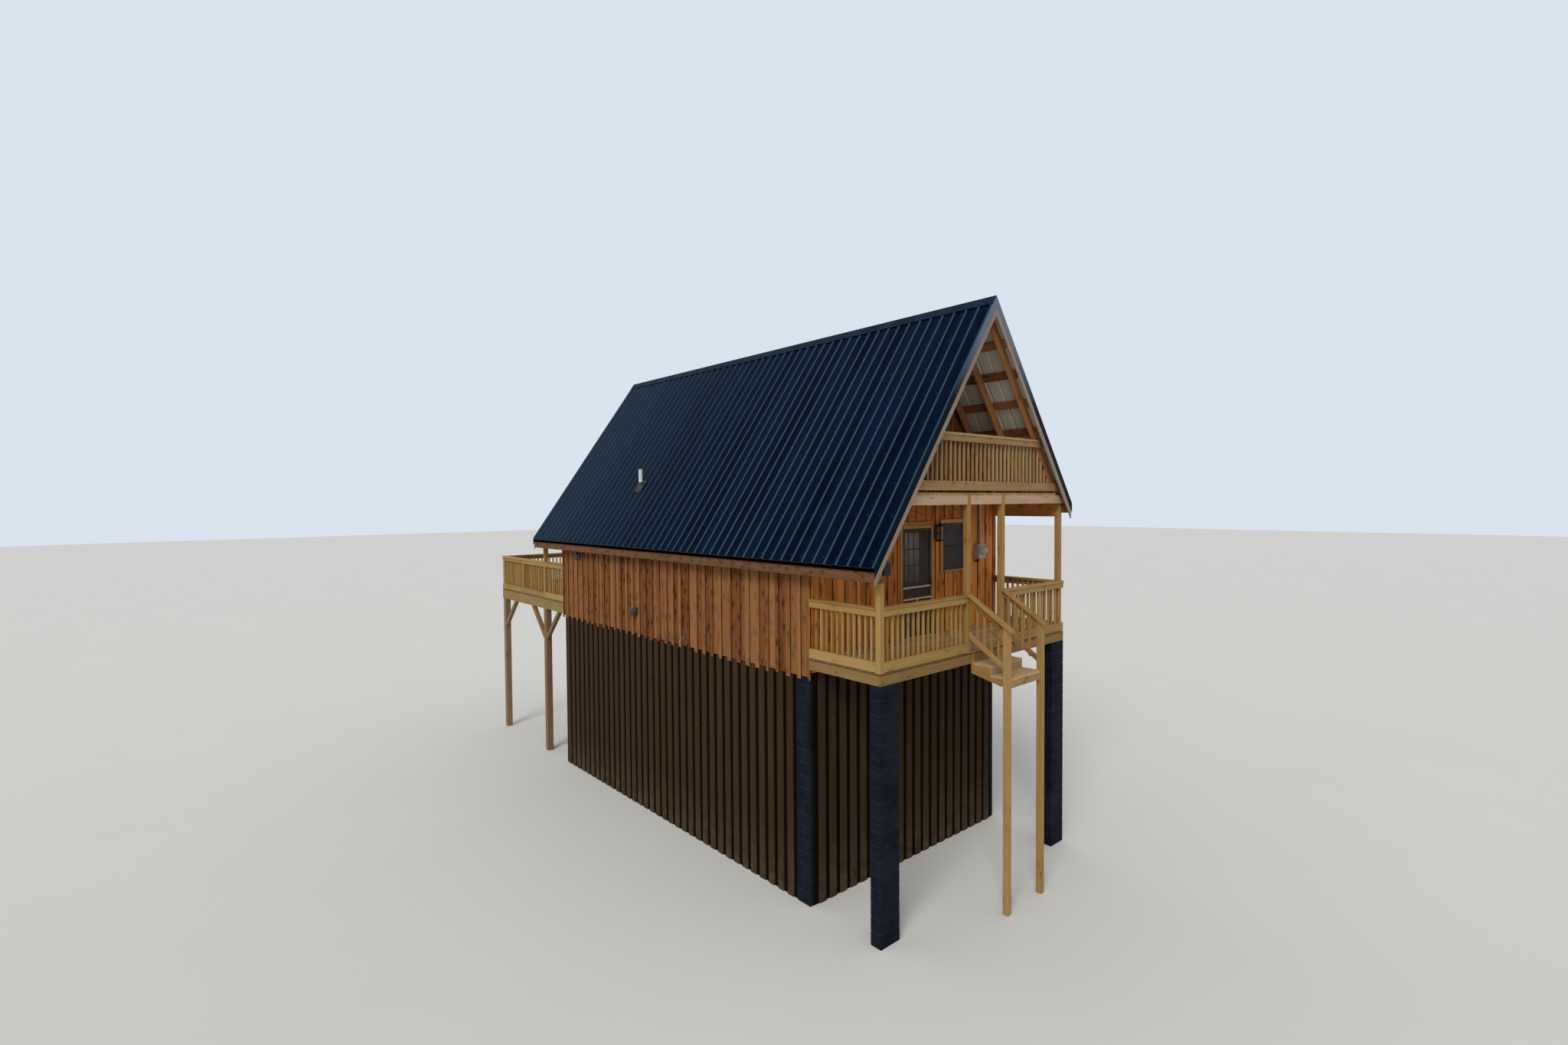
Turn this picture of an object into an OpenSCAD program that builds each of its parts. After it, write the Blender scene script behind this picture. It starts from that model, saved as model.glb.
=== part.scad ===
/* [House] */
// Width of the house over its siding
house_w = 4880; // [4000:10:6500]
// Length of the house from front wall to rear wall, over the siding
house_l = 8480; // [6000:10:11000]
// Height of the porch rim's underside above the lowest ground
rim_lift = 3600; // [2600:10:4500]
// Thickness of a framed wall without its siding
wall_t = 124; // [100:1:160]
// Thickness of the raised siding boards on the walls
siding_t = 25; // [15:1:40]
// Height of the house floor above the porch deck
sill_step = 25; // [10:1:60]
// Depth of a floor joist
joist_h = 235; // [180:1:300]
// Largest distance between the floor joists
joist_pitch = 410; // [300:10:620]
// Largest distance between the short joists under the balcony
loft_joist_pitch = 420; // [300:10:620]
// Thickness of the house's floor boards
subfloor_t = 19; // [15:1:40]

/* [Roof] */
// Distance of the ridge from the middle of the house, to the right
ridge_shift = 150; // [0:10:250]
// Height of the ridge above the porch rim's underside
ridge_h = 5608; // [5000:2:6200]
// Height of the roof over the left wall's outer face above the porch rim's underside
left_plate_h = 1939; // [1850:1:2100]
// Height of the roof over the right wall's outer face above the wall's top
right_heel = 77; // [74:1:110]
// How far the rafters and purlins stop short of the sheets' lower edge
eave_cut = 40; // [20:1:60]
// How far the roof's front edge stands in front of the porch rim
roof_front = 110; // [60:5:180]
// How far the roof runs past the rear wall
roof_rear = 1110; // [1000:10:1800]
// How far the left eave stands out from the siding
left_eave = 230; // [180:5:280]
// How far the right eave stands out from the siding
right_eave = 80; // [60:5:200]
// Distance between the ribs of the roof sheets
rib_pitch = 228.6; // [200:0.1:300]
// Height of a roof rib
rib_h = 19; // [12:1:30]
// Width of a roof rib's flat top
rib_top_w = 25; // [15:1:35]
// Width of a roof rib's foot
rib_foot_w = 60; // [45:1:80]
// Thickness of the roof sheet
sheet_t = 3; // [2:0.5:6]
// Width of a rafter's edge
rafter_w = 38; // [30:1:60]
// Depth of a rafter
rafter_h = 140; // [120:1:200]
// Largest distance between rafters
rafter_pitch = 600; // [400:10:700]
// Thickness of a purlin
purlin_t = 38; // [25:1:60]
// Width of a purlin
purlin_w = 140; // [60:1:190]
// Distance from the ridge down the slope to the first purlin
purlin_first = 140; // [80:5:300]
// Distance between purlins up the slope
purlin_pitch = 550; // [400:10:900]
// Width of one side of the ridge cap
cap_w = 160; // [120:1:240]
// Width of the metal trim along the rakes
trim_w = 95; // [70:1:140]
// Thickness of the metal trims
trim_t = 4; // [3:0.5:8]
// Height of the wooden board along the rakes
fascia_h = 80; // [60:1:140]
// Thickness of the rake and eave boards
fascia_t = 19; // [15:1:40]
// Depth of the ridge board
ridge_board_h = 235; // [180:1:300]
// Depth of the eave beams
eave_beam_h = 235; // [140:1:260]
// Thickness of the eave beams
eave_beam_t = 89; // [60:1:89]
// Height of an eave board
eave_board_h = 150; // [120:5:180]
// Diameter of the vent pipe
vent_d = 84; // [60:1:120]
// Height of the vent pipe above the roof
vent_h = 390; // [200:10:600]
// Distance of the vent pipe from the middle of the house, to the left
vent_x = 1825; // [1700:5:2000]
// Distance of the vent pipe behind the porch rim
vent_y = 7260; // [5000:10:9000]
// Diameter of the boot round the pipe's foot
boot_d = 143; // [125:1:200]
// Height of the boot over the roof
boot_h = 102; // [60:1:160]

/* [Porch] */
// Depth of the porch from its rim to the front wall
porch_d = 1370; // [1200:10:2000]
// Height of the rim boards
rim_h = 140; // [120:1:200]
// Thickness of the framing boards
board_t = 38; // [30:1:50]
// Largest distance between the decks' joists
deck_joist_pitch = 610; // [400:10:620]
// Thickness of the deck boards
deck_t = 25; // [20:1:40]
// Width of a deck board
deck_board_w = 140; // [90:1:190]
// Gap between two deck boards
deck_gap = 6; // [3:1:12]
// Side of the square porch posts
post_w = 89; // [80:1:140]
// Distance of the stair bay's middle from the middle of the house, to the right
stair_x = 62; // [0:1:120]
// Distance between the two posts beside the stairs, between their middles
stair_bay = 925; // [850:5:1100]
// Height of the balcony beam's underside above the porch rim's underside
header_z = 2430; // [2380:10:2600]
// Height of the balcony beam
header_h = 140; // [120:1:200]
// Width of a porch pier
pier_w = 390; // [350:5:420]
// Depth of a porch pier
pier_d = 190; // [180:5:400]

/* [Railings] */
// Height of the railings' caps above the deck
rail_top = 895; // [850:5:1100]
// Height of the bottom rail
rail_bottom_h = 140; // [89:1:140]
// Height of the top rail
rail_top_h = 89; // [80:1:140]
// Width of the flat cap
cap_board_w = 140; // [120:1:160]
// Gap between the deck and the bottom rail
rail_gap = 12; // [1:1:60]
// Gap between the loft floor and the balcony's bottom rail
balcony_gap = 35; // [5:1:80]
// How far a cap stands out in front of its rail
cap_out = 45; // [20:1:60]
// Side of a baluster
baluster_w = 38; // [30:1:50]
// Largest distance between the middles of two balusters
baluster_pitch = 114; // [95:1:130]

/* [Stairs] */
// Rise of a step
step_rise = 140; // [120:1:170]
// Depth of a step
step_going = 340; // [300:5:380]
// Distance of the newels' middle in front of the rim
newel_y = 650; // [600:5:720]
// Height of the newels' top above the porch rim's underside
newel_top = 560; // [500:5:640]
// Depth of a stair railing's lower rail under its cap
lower_rail_d = 600; // [450:5:650]
// Largest distance between the stair railings' balusters
stair_baluster_pitch = 124; // [95:1:140]

/* [Rear deck] */
// Depth of the rear deck
rear_d = 3800; // [3500:10:4500]
// Height of the rear deck's rim boards
rear_rim_h = 235; // [180:1:300]
// Side of the posts under the rear deck
rear_post_w = 140; // [120:1:190]
// Distance from the rear wall to the first row of rear posts
rear_row = 1030; // [950:10:1060]
// Height and reach of the knee braces
brace_run = 760; // [500:10:900]

/* [Doors and windows] */
// Distance of the door's middle from the middle of the house, to the right
door_x = 55; // [0:1:100]
// Width of the doorway
door_w = 804; // [700:1:860]
// Height of the doorway
door_h = 1852; // [1800:1:2000]
// Clearance round a door leaf
leaf_gap = 5; // [4:0.5:8]
// Height of the knobs over the floor
knob_h = 880; // [800:5:1000]
// Thickness of the front door
door_t = 40; // [35:1:50]
// Thickness of the screen door
screen_t = 25; // [20:1:32]
// Thickness of the door frame's boards
jamb_t = 19; // [15:1:30]
// Distance of the front window's middle from the middle of the house, to the right
window_x = 1101; // [1080:1:1200]
// Width of the window opening
window_w = 698; // [500:1:760]
// Height of the window opening
window_h = 870; // [700:5:900]
// Height of the window opening's top above the porch rim's underside
window_top = 2117; // [1950:1:2150]
// Width of the trim round doors and windows
casing_w = 65; // [50:1:110]
// Width of the glass in a door
lite_w = 440; // [300:5:520]
// Height of the glass in a door
lite_h = 830; // [400:5:850]
// Height of the glass above the house floor
lite_z = 920; // [880:5:960]
// Width of the screen door's side rails
screen_rail_w = 60; // [45:1:100]
// Height of the screen door's lower cross rail above the house floor
screen_cross_z = 630; // [500:5:700]
// Distance between the screen door's two cross rails
screen_cross_gap = 195; // [100:5:250]

/* [Fixtures] */
// Distance of the lantern from the middle of the house, to the right
lantern_x = 580; // [540:5:640]
// Height of the lantern's foot above the porch rim's underside
lantern_z = 1785; // [1600:5:1900]
// Width of the lantern
lantern_w = 130; // [100:1:160]
// Height of the lantern
lantern_h = 320; // [200:5:340]
// Distance of the electric meter from the middle of the house, to the right
meter_x = 1855; // [1650:5:1950]
// Height of the electric meter's box above the porch rim's underside
meter_z = 1415; // [1300:5:1600]
// Width of the electric meter's box
meter_w = 200; // [160:1:260]
// Height of the electric meter's box
meter_h = 270; // [200:5:320]
// Diameter of the meter's glass
meter_glass_d = 150; // [120:1:160]
// Diameter of the meter's conduit
conduit_d = 48; // [30:1:60]
// How far the conduit stands to the right of the meter's middle
conduit_x = 35; // [-60:5:60]
// How far the meter box stands off the siding
meter_depth = 95; // [60:1:140]
// How far the junction box stands off the siding
junction_depth = 70; // [40:1:100]
// Distance of the junction box from the middle of the house, to the left
junction_x = 780; // [700:5:900]
// Height of the junction box above the porch rim's underside
junction_z = 1290; // [1100:5:1500]
// Width of the junction box
junction_w = 150; // [100:5:180]
// Height of the junction box
junction_h = 210; // [150:5:250]
// Distance of the side wall's hood behind the porch rim
hood_y = 6455; // [4000:5:8500]
// Height of the hood's foot above the porch rim's underside
hood_z = 250; // [150:5:500]
// Width and height of the hood
hood_w = 150; // [110:5:180]
// Distance of the side wall's lamp behind the porch rim
lamp_y = 8910; // [8000:5:9300]
// Height of the lamp's foot above the porch rim's underside
lamp_z = 1215; // [1000:5:1250]
// Height of the lamp
lamp_h = 165; // [120:5:200]
// Distance of the side wall's garden tap behind the porch rim
tap_y = 4725; // [3000:5:6000]
// How far the tap stands out from the siding
tap_reach = 95; // [60:5:120]
// Diameter of the tap's pipe
tap_d = 26; // [18:1:32]

/* [Skirting] */
// Distance between the ribs of the skirting sheets
skirt_pitch = 228.6; // [200:0.1:300]
// Width of a rib of the skirting
skirt_rib_w = 130; // [90:1:150]
// Height of a rib of the skirting
skirt_rib_h = 22; // [15:1:30]
// Thickness of the skirting sheet
skirt_t = 6; // [4:0.5:10]
// Width and length of a pier under the house
house_pier_w = 290; // [250:5:400]
// Largest distance between the piers under a side of the house
pier_pitch = 2700; // [2000:50:3200]
// Width of a corner pier left open beside the front skirting
pier_open_w = 70; // [40:5:120]

/* [Hidden] */

half_w = house_w / 2;
front_y = porch_d;
rear_y = porch_d + house_l;
rim_z = rim_lift;
deck_z = rim_z + rim_h + deck_t;
floor_z = deck_z + sill_step;
joist_z = floor_z - subfloor_t - joist_h;
core = half_w - siding_t;
inner = core - wall_t;
core_front = front_y + siding_t;
core_rear = rear_y - siding_t;
room_front = core_front + wall_t;
room_rear = core_rear - wall_t;
ridge_x = ridge_shift;
ridge_z = rim_z + ridge_h;
roof_y0 = -roof_front;
roof_y1 = rear_y + roof_rear;
roof_l = roof_y1 - roof_y0;
// Depths below the top of the sheet's flats, measured square to the slope
purlin_down = sheet_t;
rafter_down = purlin_down + purlin_t;
rafter_foot = rafter_down + rafter_h;
left_eave_x = -half_w - left_eave;
right_eave_x = half_w + right_eave;
header_bottom = rim_z + header_z;
header_top = header_bottom + header_h;
loft_z = header_top + board_t;
door_top = floor_z + door_h;
post_x1 = stair_x - stair_bay / 2;
post_x2 = stair_x + stair_bay / 2;
post_half = post_w / 2;
corner_x = half_w - post_half;
rear_end = rear_y + rear_d;
rear_row1 = rear_y + rear_row;
rear_row2 = rear_end - board_t - rear_post_w / 2;
rear_rim_z = deck_z - deck_t - rear_rim_h;
newel_z = rim_z + newel_top;
// Flat faces of one body meet with this gap where their solids share a node
seat = 0.3;
handrail_end = -newel_y - post_half - cap_out;
x_mid = (left_eave_x - rib_h * sin(pitch(-1)) + right_eave_x + rib_h * sin(pitch(1))) / 2;
y_mid = (rear_end + cap_out + handrail_end) / 2;

wood_new = "#c9a45c";
wood_deck = "#b79a5e";
wood_red = "#a8683a";
wood_brown = "#8a5a32";
metal_blue = "#131c2b";
metal_brown = "#3b2f26";
metal_grey = "#8f9396";
block_black = "#1b1c1f";
glass_dark = "#2b2e30";

// Rise over run and angle of one slope, from the ridge down to the roof over the wall's face
function slope(side) = side < 0 ? (ridge_h - left_plate_h) / (half_w + ridge_x)
    : (ridge_h - header_z - right_heel) / (half_w - ridge_x);
function pitch(side) = atan(slope(side));
// Height of the sheet's flats over a place x
function roof_top(x) = ridge_z - abs(x - ridge_x) * slope(x < ridge_x ? -1 : 1);
// Height of a layer that lies d below the sheet's flats, square to the slope
function roof_layer(x, d) = roof_top(x) - d / cos(pitch(x < ridge_x ? -1 : 1));
// Height of the rafters' underside over a place x
function roof_under(x) = roof_layer(x, rafter_foot);
// Place where the rafters' underside comes down to a height
function under_x(side, z) = ridge_x + side * (ridge_z - rafter_foot / cos(pitch(side)) - z) / slope(side);
// Horizontal reach of one slope's sheet from the ridge
function reach(side) = side < 0 ? ridge_x - left_eave_x : right_eave_x - ridge_x;
// Places spread evenly from a to b, no further apart than step
function spread(a, b, step) =
    let (n = max(1, ceil((b - a) / step - 0.001))) [for (i = [0:n]) a + (b - a) * i / n];
// Places between a and b, without the ends
function between(a, b, step) =
    let (n = max(2, ceil((b - a) / step - 0.001))) [for (i = [1:n - 1]) a + (b - a) * i / n];

// A box from its low corner to its high corner
module block(a, b) { translate(a) cube([b[0] - a[0], b[1] - a[1], b[2] - a[2]]); }

// Everything stands over the middle of its own outline
module placed() { translate([-x_mid, -y_mid, 0]) children(); }

// An outline in X and Z, drawn out along Y
module along_y(y0, y1) { translate([0, y1, 0]) rotate([90, 0, 0]) linear_extrude(y1 - y0) children(); }

// An outline in Y and Z, drawn out along X
module along_x(x0, x1) {
    translate([x0, 0, 0]) rotate([90, 0, 90]) linear_extrude(x1 - x0) children();
}

// A rectangle from its low corner to its high corner
module plate(a, b) { translate(a) square([b[0] - a[0], b[1] - a[1]]); }

// A band along one slope with plumb ends, from run r0 to r1 and from depth d0 to d1
module slope_band(side, r0, r1, d0, d1) {
    drop0 = d0 / cos(pitch(side));
    drop1 = d1 / cos(pitch(side));
    polygon([
        [ridge_x + side * r0, ridge_z - r0 * slope(side) - drop0],
        [ridge_x + side * r1, ridge_z - r1 * slope(side) - drop0],
        [ridge_x + side * r1, ridge_z - r1 * slope(side) - drop1],
        [ridge_x + side * r0, ridge_z - r0 * slope(side) - drop1]]);
}

// A rectangle in X and Z, cut to the roof at depth d. The two slopes' layers meet beside the ridge's plane
module under_roof(x0, x1, z0, z1, d = rafter_foot + seat) {
    left_drop = d / cos(pitch(-1));
    aside = (left_drop - d / cos(pitch(1))) / (slope(-1) + slope(1));
    intersection() {
        plate([x0, z0], [x1, z1]);
        polygon([[-house_w, 0], [-house_w, roof_layer(-house_w, d)],
            [ridge_x + aside, ridge_z + aside * slope(-1) - left_drop],
            [house_w, roof_layer(house_w, d)], [house_w, 0]]);
    }
}

// Ribbed sheet section: X across the ribs, Y is the height
module ribbed_section(length, step, rib, foot, height, thick) {
    n = floor((length - foot) / step);
    start = (length - n * step) / 2;
    top = [for (i = [0:n]) let (c = start + i * step) each
        [[c - foot / 2, 0], [c - rib / 2, height], [c + rib / 2, height], [c + foot / 2, 0]]];
    under = [for (p = top) [p[0], p[1] - thick]];
    polygon(concat([[0, 0]], top, [[length, 0], [length, -thick]],
        [for (i = [len(under) - 1:-1:0]) under[i]], [[0, -thick]]));
}

// Skirting sheets stand from the ground to the joists, between the open corner piers
skirt_x = core - skirt_rib_h;
skirt_y0 = core_front + skirt_rib_h;
skirt_y1 = core_rear - skirt_rib_h;
skirt_foot = skirt_rib_w + 20;
pier_front = skirt_y0 + skirt_t + seat;
module skirt_panel(length) {
    linear_extrude(joist_z)
        ribbed_section(length, skirt_pitch, skirt_rib_w, skirt_foot, skirt_rib_h, skirt_t);
}
module skirting() {
    side_y0 = pier_front + house_pier_w + seat;
    front_l = 2 * (core - pier_open_w);
    rear_l = 2 * (skirt_x - skirt_t - seat);
    color(metal_brown) placed() {
        translate([-skirt_x, skirt_y1, 0]) rotate([0, 0, -90]) mirror([0, 1, 0])
            skirt_panel(skirt_y1 - side_y0);
        translate([skirt_x, skirt_y1, 0]) rotate([0, 0, -90]) skirt_panel(skirt_y1 - side_y0);
        translate([-front_l / 2, skirt_y0, 0]) mirror([0, 1, 0]) skirt_panel(front_l);
        translate([-rear_l / 2, skirt_y1 - skirt_t, 0]) skirt_panel(rear_l);
    }
}

// Block piers under the porch's front corners and under the house
module block_piers() {
    inside = skirt_x - skirt_t - seat - house_pier_w / 2;
    rear_row_y = skirt_y1 - 2 * skirt_t - house_pier_w / 2;
    front_row_y = pier_front + house_pier_w / 2;
    color(block_black) placed() {
        for (side = [-1, 1]) {
            x = side < 0 ? -half_w : half_w - pier_w;
            block([x, 0, 0], [x + pier_w, pier_d, rim_z]);
            house_pier(side * (core - house_pier_w / 2), front_row_y);
            for (y = between(front_row_y, rear_row_y, pier_pitch)) house_pier(side * inside, y);
            house_pier(side * inside, rear_row_y);
        }
    }
}
module house_pier(x, y) {
    r = house_pier_w / 2;
    block([x - r, y - r, 0], [x + r, y + r, joist_z]);
}

// Joists between two rim joists
module floor_joists() {
    top = floor_z - subfloor_t;
    inside = core - board_t - seat;
    color(wood_brown) placed() {
        for (y = spread(core_front + board_t / 2, core_rear - board_t / 2, joist_pitch))
            block([-inside, y - board_t / 2, joist_z], [inside, y + board_t / 2, top]);
        for (side = [-1, 1]) {
            x = side * (core - board_t / 2);
            block([x - board_t / 2, core_front, joist_z], [x + board_t / 2, core_rear, top]);
        }
    }
}
module house_floor() {
    color(wood_deck) placed() block([-core, core_front, floor_z - subfloor_t], [core, core_rear, floor_z]);
}

// The left wall's top is bevelled under the rafters, the right wall's is level
module left_wall() {
    color(wood_red) placed() along_y(core_front, core_rear) under_roof(-core, -inner, floor_z, ridge_z);
}
module right_wall() {
    color(wood_red) placed() block([inner, core_front, floor_z], [core, core_rear, header_bottom]);
}

// End walls between the side walls, with the doorway and the window cut through
door_x0 = door_x - door_w / 2;
door_x1 = door_x + door_w / 2;
window_x0 = window_x - window_w / 2;
window_z0 = rim_z + window_top - window_h;
module window_hole(edge = 0) {
    plate([window_x0 + edge, window_z0 + edge],
        [window_x0 + window_w - edge, window_z0 + window_h - edge]);
}
module front_wall_left() {
    color(wood_red) placed() along_y(core_front, room_front)
        under_roof(-inner, door_x0, floor_z, header_top, rafter_down + seat);
}
module front_wall_right() {
    color(wood_red) placed() along_y(core_front, room_front) difference() {
        under_roof(door_x1, inner, floor_z, header_top, rafter_down + seat);
        window_hole();
    }
}
module front_wall_over_door() {
    color(wood_red) placed() along_y(core_front, room_front)
        plate([door_x0, door_top], [door_x1, header_top]);
}
module rear_wall() {
    color(wood_red) placed() along_y(room_rear, core_rear) difference() {
        under_roof(-inner, inner, floor_z, header_top, rafter_down + seat);
        plate([door_x0, floor_z], [door_x1, door_top]);
        window_hole();
    }
}
ridge_board_top = roof_layer(ridge_x - board_t / 2, rafter_down);
module gable_walls() {
    color(wood_red) placed() for (y = [core_front, room_rear]) along_y(y, y + wall_t) difference() {
        under_roof(-inner, inner, loft_z, ridge_z, rafter_down + seat);
        plate([ridge_x - board_t / 2, ridge_board_top - ridge_board_h], [ridge_x + board_t / 2, ridge_z]);
    }
}

// Rafters over the porch, over the house and over the rear deck, clear of the gable walls
first_row = board_t + rafter_w / 2;
porch_rows = [for (y = [first_row:rafter_pitch:core_front - rafter_w / 2]) y];
house_rows = spread(room_front + rafter_w / 2, room_rear - rafter_w / 2, rafter_pitch);
rear_rows = spread(core_rear + rafter_w / 2, rear_row1, rafter_pitch);
rafter_rows = concat(porch_rows, house_rows, rear_rows);
// A right rafter has a level seat on the wall and on the eave beams, a left one a tail cut level at the eave board
left_board_x = left_eave_x + eave_cut;
left_board_top = roof_layer(left_board_x - fascia_t, rafter_down);
module rafter_outline(side) {
    run = side < 0 ? reach(side) - eave_cut : half_w - ridge_x;
    difference() {
        slope_band(side, board_t / 2, run, rafter_down, rafter_foot);
        if (side > 0) square([house_w, header_bottom]);
        else plate([-house_w, 0], [-half_w, left_board_top - eave_board_h]);
    }
}
module rafters() {
    color(wood_brown) placed() for (y = rafter_rows, side = [-1, 1])
        along_y(y - rafter_w / 2, y + rafter_w / 2) rafter_outline(side);
}
module ridge_board() {
    color(wood_brown) placed() block([ridge_x - board_t / 2, roof_y0 + fascia_t, ridge_board_top - ridge_board_h],
        [ridge_x + board_t / 2, roof_y1 - fascia_t, ridge_board_top]);
}

// Loft floor: joists beside the rafters, short joists out to the balcony beam, and boards
module loft_joists() {
    x0 = under_x(-1, header_top) + board_t / 2;
    x1 = under_x(1, header_top) - board_t / 2;
    aside = post_half + board_t / 2;
    xs = concat(spread(x0, post_x1 - aside, loft_joist_pitch),
        spread(post_x1 + aside, post_x2 - aside, loft_joist_pitch),
        spread(post_x2 + aside, x1, loft_joist_pitch));
    color(wood_brown) placed() {
        for (x = xs)
            block([x - board_t / 2, board_t, header_bottom], [x + board_t / 2, core_front, header_top]);
        for (y = house_rows)
            along_y(y - board_t / 2, y + board_t / 2) under_roof(-inner, inner, header_bottom, header_top);
    }
}
module loft_floor() {
    color(wood_deck) placed() along_y(0, core_rear) under_roof(-half_w, inner, header_top, loft_z);
}

// Purlins lie flat on the rafters at an even pitch, with the last one at the eave
module purlins() {
    color(wood_brown) placed() for (side = [-1, 1]) {
        low = reach(side) / cos(pitch(side)) - eave_cut - purlin_w;
        along_y(roof_y0 + fascia_t, roof_y1 - fascia_t)
            translate([ridge_x, ridge_z]) mirror([side < 0 ? 1 : 0, 0]) rotate(-pitch(side))
                for (s = concat([for (r = [purlin_first:purlin_pitch:low - 2 * purlin_w]) r], [low]))
                    translate([s, -rafter_down]) square([purlin_w, purlin_t]);
    }
}

// Roof sheets: their ribs run up the slope and end under the ridge cap
sheet_start = 12;
module roof_sheets() {
    color(metal_blue) placed() for (side = [-1, 1])
        translate([ridge_x, roof_y0, ridge_z]) mirror([side < 0 ? 1 : 0, 0, 0])
            rotate([0, pitch(side), 0]) translate([sheet_start, 0, 0])
                multmatrix([[0, 0, 1, 0], [1, 0, 0, 0], [0, 1, 0, 0]])
                    linear_extrude(reach(side) / cos(pitch(side)) - sheet_start)
                        ribbed_section(roof_l, rib_pitch, rib_top_w, rib_foot_w, rib_h, sheet_t);
}

// Ridge cap bent over the two slopes, riding on the ribs
module ridge_cap() {
    low = -rib_h - seat;
    color(metal_blue) placed() along_y(roof_y0, roof_y1) for (side = [-1, 1]) {
        top = ridge_x + side * seat / 2;
        foot = ridge_x + side * cap_w * cos(pitch(side));
        polygon([[foot, roof_layer(foot, low)], [top, roof_layer(top, low)],
            [top, roof_layer(top, low - trim_t)], [foot, roof_layer(foot, low - trim_t)]]);
    }
}

// Metal trims stand over the rakes, with wooden boards behind them
trim_drop = trim_w - rib_h;
module rake_trims() {
    color(metal_blue) placed() for (y = [roof_y0 - trim_t - seat, roof_y1 + seat], side = [-1, 1])
        along_y(y, y + trim_t) slope_band(side, seat, reach(side), -rib_h, trim_drop);
}
module rake_boards() {
    color(wood_red) placed() for (y = [roof_y0, roof_y1 - fascia_t], side = [-1, 1])
        along_y(y, y + fascia_t) slope_band(side, seat, reach(side) - eave_cut / 2, sheet_t, trim_drop + fascia_h);
}

// Eave boards close the rafters' lower ends
module eave_boards() {
    color(wood_red) placed() for (side = [-1, 1]) {
        x = side < 0 ? left_board_x : half_w;
        far = x + side * fascia_t;
        top = side < 0 ? left_board_top : roof_layer(far, rafter_down);
        block([min(x, far), roof_y0 + fascia_t, top - eave_board_h],
            [max(x, far), roof_y1 - fascia_t, top]);
    }
}

// Eave beams carry the rafters over the porch and over the rear deck
left_beam_top = roof_under(-half_w);
left_post_top = left_beam_top - eave_beam_h;
module eave_beam(side, y0, y1) {
    x0 = side < 0 ? -half_w : half_w - eave_beam_t;
    top = side < 0 ? left_beam_top : header_bottom;
    block([x0, y0, top - eave_beam_h], [x0 + eave_beam_t, y1, top]);
}
module eave_beams() {
    color(wood_red) placed() {
        eave_beam(-1, board_t, core_front);
        eave_beam(1, board_t + post_w, core_front);
        eave_beam(-1, core_rear, rear_row1 + post_half);
        eave_beam(1, core_rear, rear_row1 - post_half);
    }
}

// Balcony beam in three lengths between the two inner posts, cut to the roof at its ends
module balcony_beam() {
    ends = [[-half_w, post_x1 - post_half], [post_x1 + post_half, post_x2 - post_half],
        [post_x2 + post_half, half_w]];
    color(wood_new) placed() for (e = ends)
        along_y(0, board_t) under_roof(e[0], e[1], header_bottom, header_top, rafter_down + seat);
}
module balcony_railing() {
    z0 = loft_z + balcony_gap;
    z1 = loft_z + rail_top - board_t;
    color(wood_new) placed() union() {
        along_y(0, board_t) under_roof(-half_w, half_w, z0, z0 + rail_bottom_h, rafter_down + seat);
        along_y(0, board_t) under_roof(-half_w, half_w, z1 - rail_top_h, z1, rafter_down + seat);
        for (x = spread(under_x(-1, z0) + baluster_w, under_x(1, z0) - baluster_w, baluster_pitch))
            along_y(board_t, board_t + baluster_w)
                under_roof(x - baluster_w / 2, x + baluster_w / 2, z0, z1);
        along_y(-cap_out, cap_board_w - cap_out) under_roof(-half_w, half_w, z1, z1 + board_t);
    }
}

// A railing bay with its outer face at Y = 0: two rails, balusters behind them and a flat cap
module rail_bay(length, cap_before = 0, cap_after = 0) {
    z0 = rail_gap;
    z1 = rail_top - board_t;
    block([0, 0, z0], [length, board_t, z0 + rail_bottom_h]);
    block([0, 0, z1 - rail_top_h], [length, board_t, z1]);
    for (x = between(0, length, baluster_pitch))
        block([x - baluster_w / 2, board_t, z0], [x + baluster_w / 2, board_t + baluster_w, z1]);
    block([-cap_before, -cap_out, z1], [length + cap_after, cap_board_w - cap_out, rail_top]);
}
// Bays along X at the front, and along Y on the left and right sides
module bay_front(x0, x1, cap_before = 0, cap_after = 0) {
    translate([x0, 0, deck_z]) rail_bay(x1 - x0, cap_before, cap_after);
}
module bay_left(y0, y1, cap_low = 0, cap_high = 0) {
    translate([-half_w, y1, deck_z]) rotate([0, 0, -90]) rail_bay(y1 - y0, cap_high, cap_low);
}
module bay_right(y0, y1, cap_low = 0, cap_high = 0) {
    translate([half_w, y0, deck_z]) rotate([0, 0, 90]) rail_bay(y1 - y0, cap_low, cap_high);
}
module bay_rear(x0, x1) { translate([x1, rear_end, deck_z]) rotate([0, 0, 180]) rail_bay(x1 - x0); }

// Porch
module porch_frame() {
    color(wood_new) placed() {
        block([-half_w, 0, rim_z], [half_w, board_t, rim_z + rim_h]);
        for (x = spread(-half_w + board_t / 2, half_w - board_t / 2, deck_joist_pitch))
            block([x - board_t / 2, board_t + seat, rim_z], [x + board_t / 2, core_front, rim_z + rim_h]);
    }
}
module deck_boards(y0, y1) {
    count = floor((y1 - y0 + deck_gap) / (deck_board_w + deck_gap));
    step = (y1 - y0 + deck_gap) / count;
    for (i = [0:count - 1])
        block([-half_w, y0 + i * step, deck_z - deck_t], [half_w, y0 + (i + 1) * step - deck_gap, deck_z]);
}
module porch_deck() { color(wood_deck) placed() deck_boards(0, core_front); }
module square_post(x, y, w, z0, z1) { block([x - w / 2, y - w / 2, z0], [x + w / 2, y + w / 2, z1]); }
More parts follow.
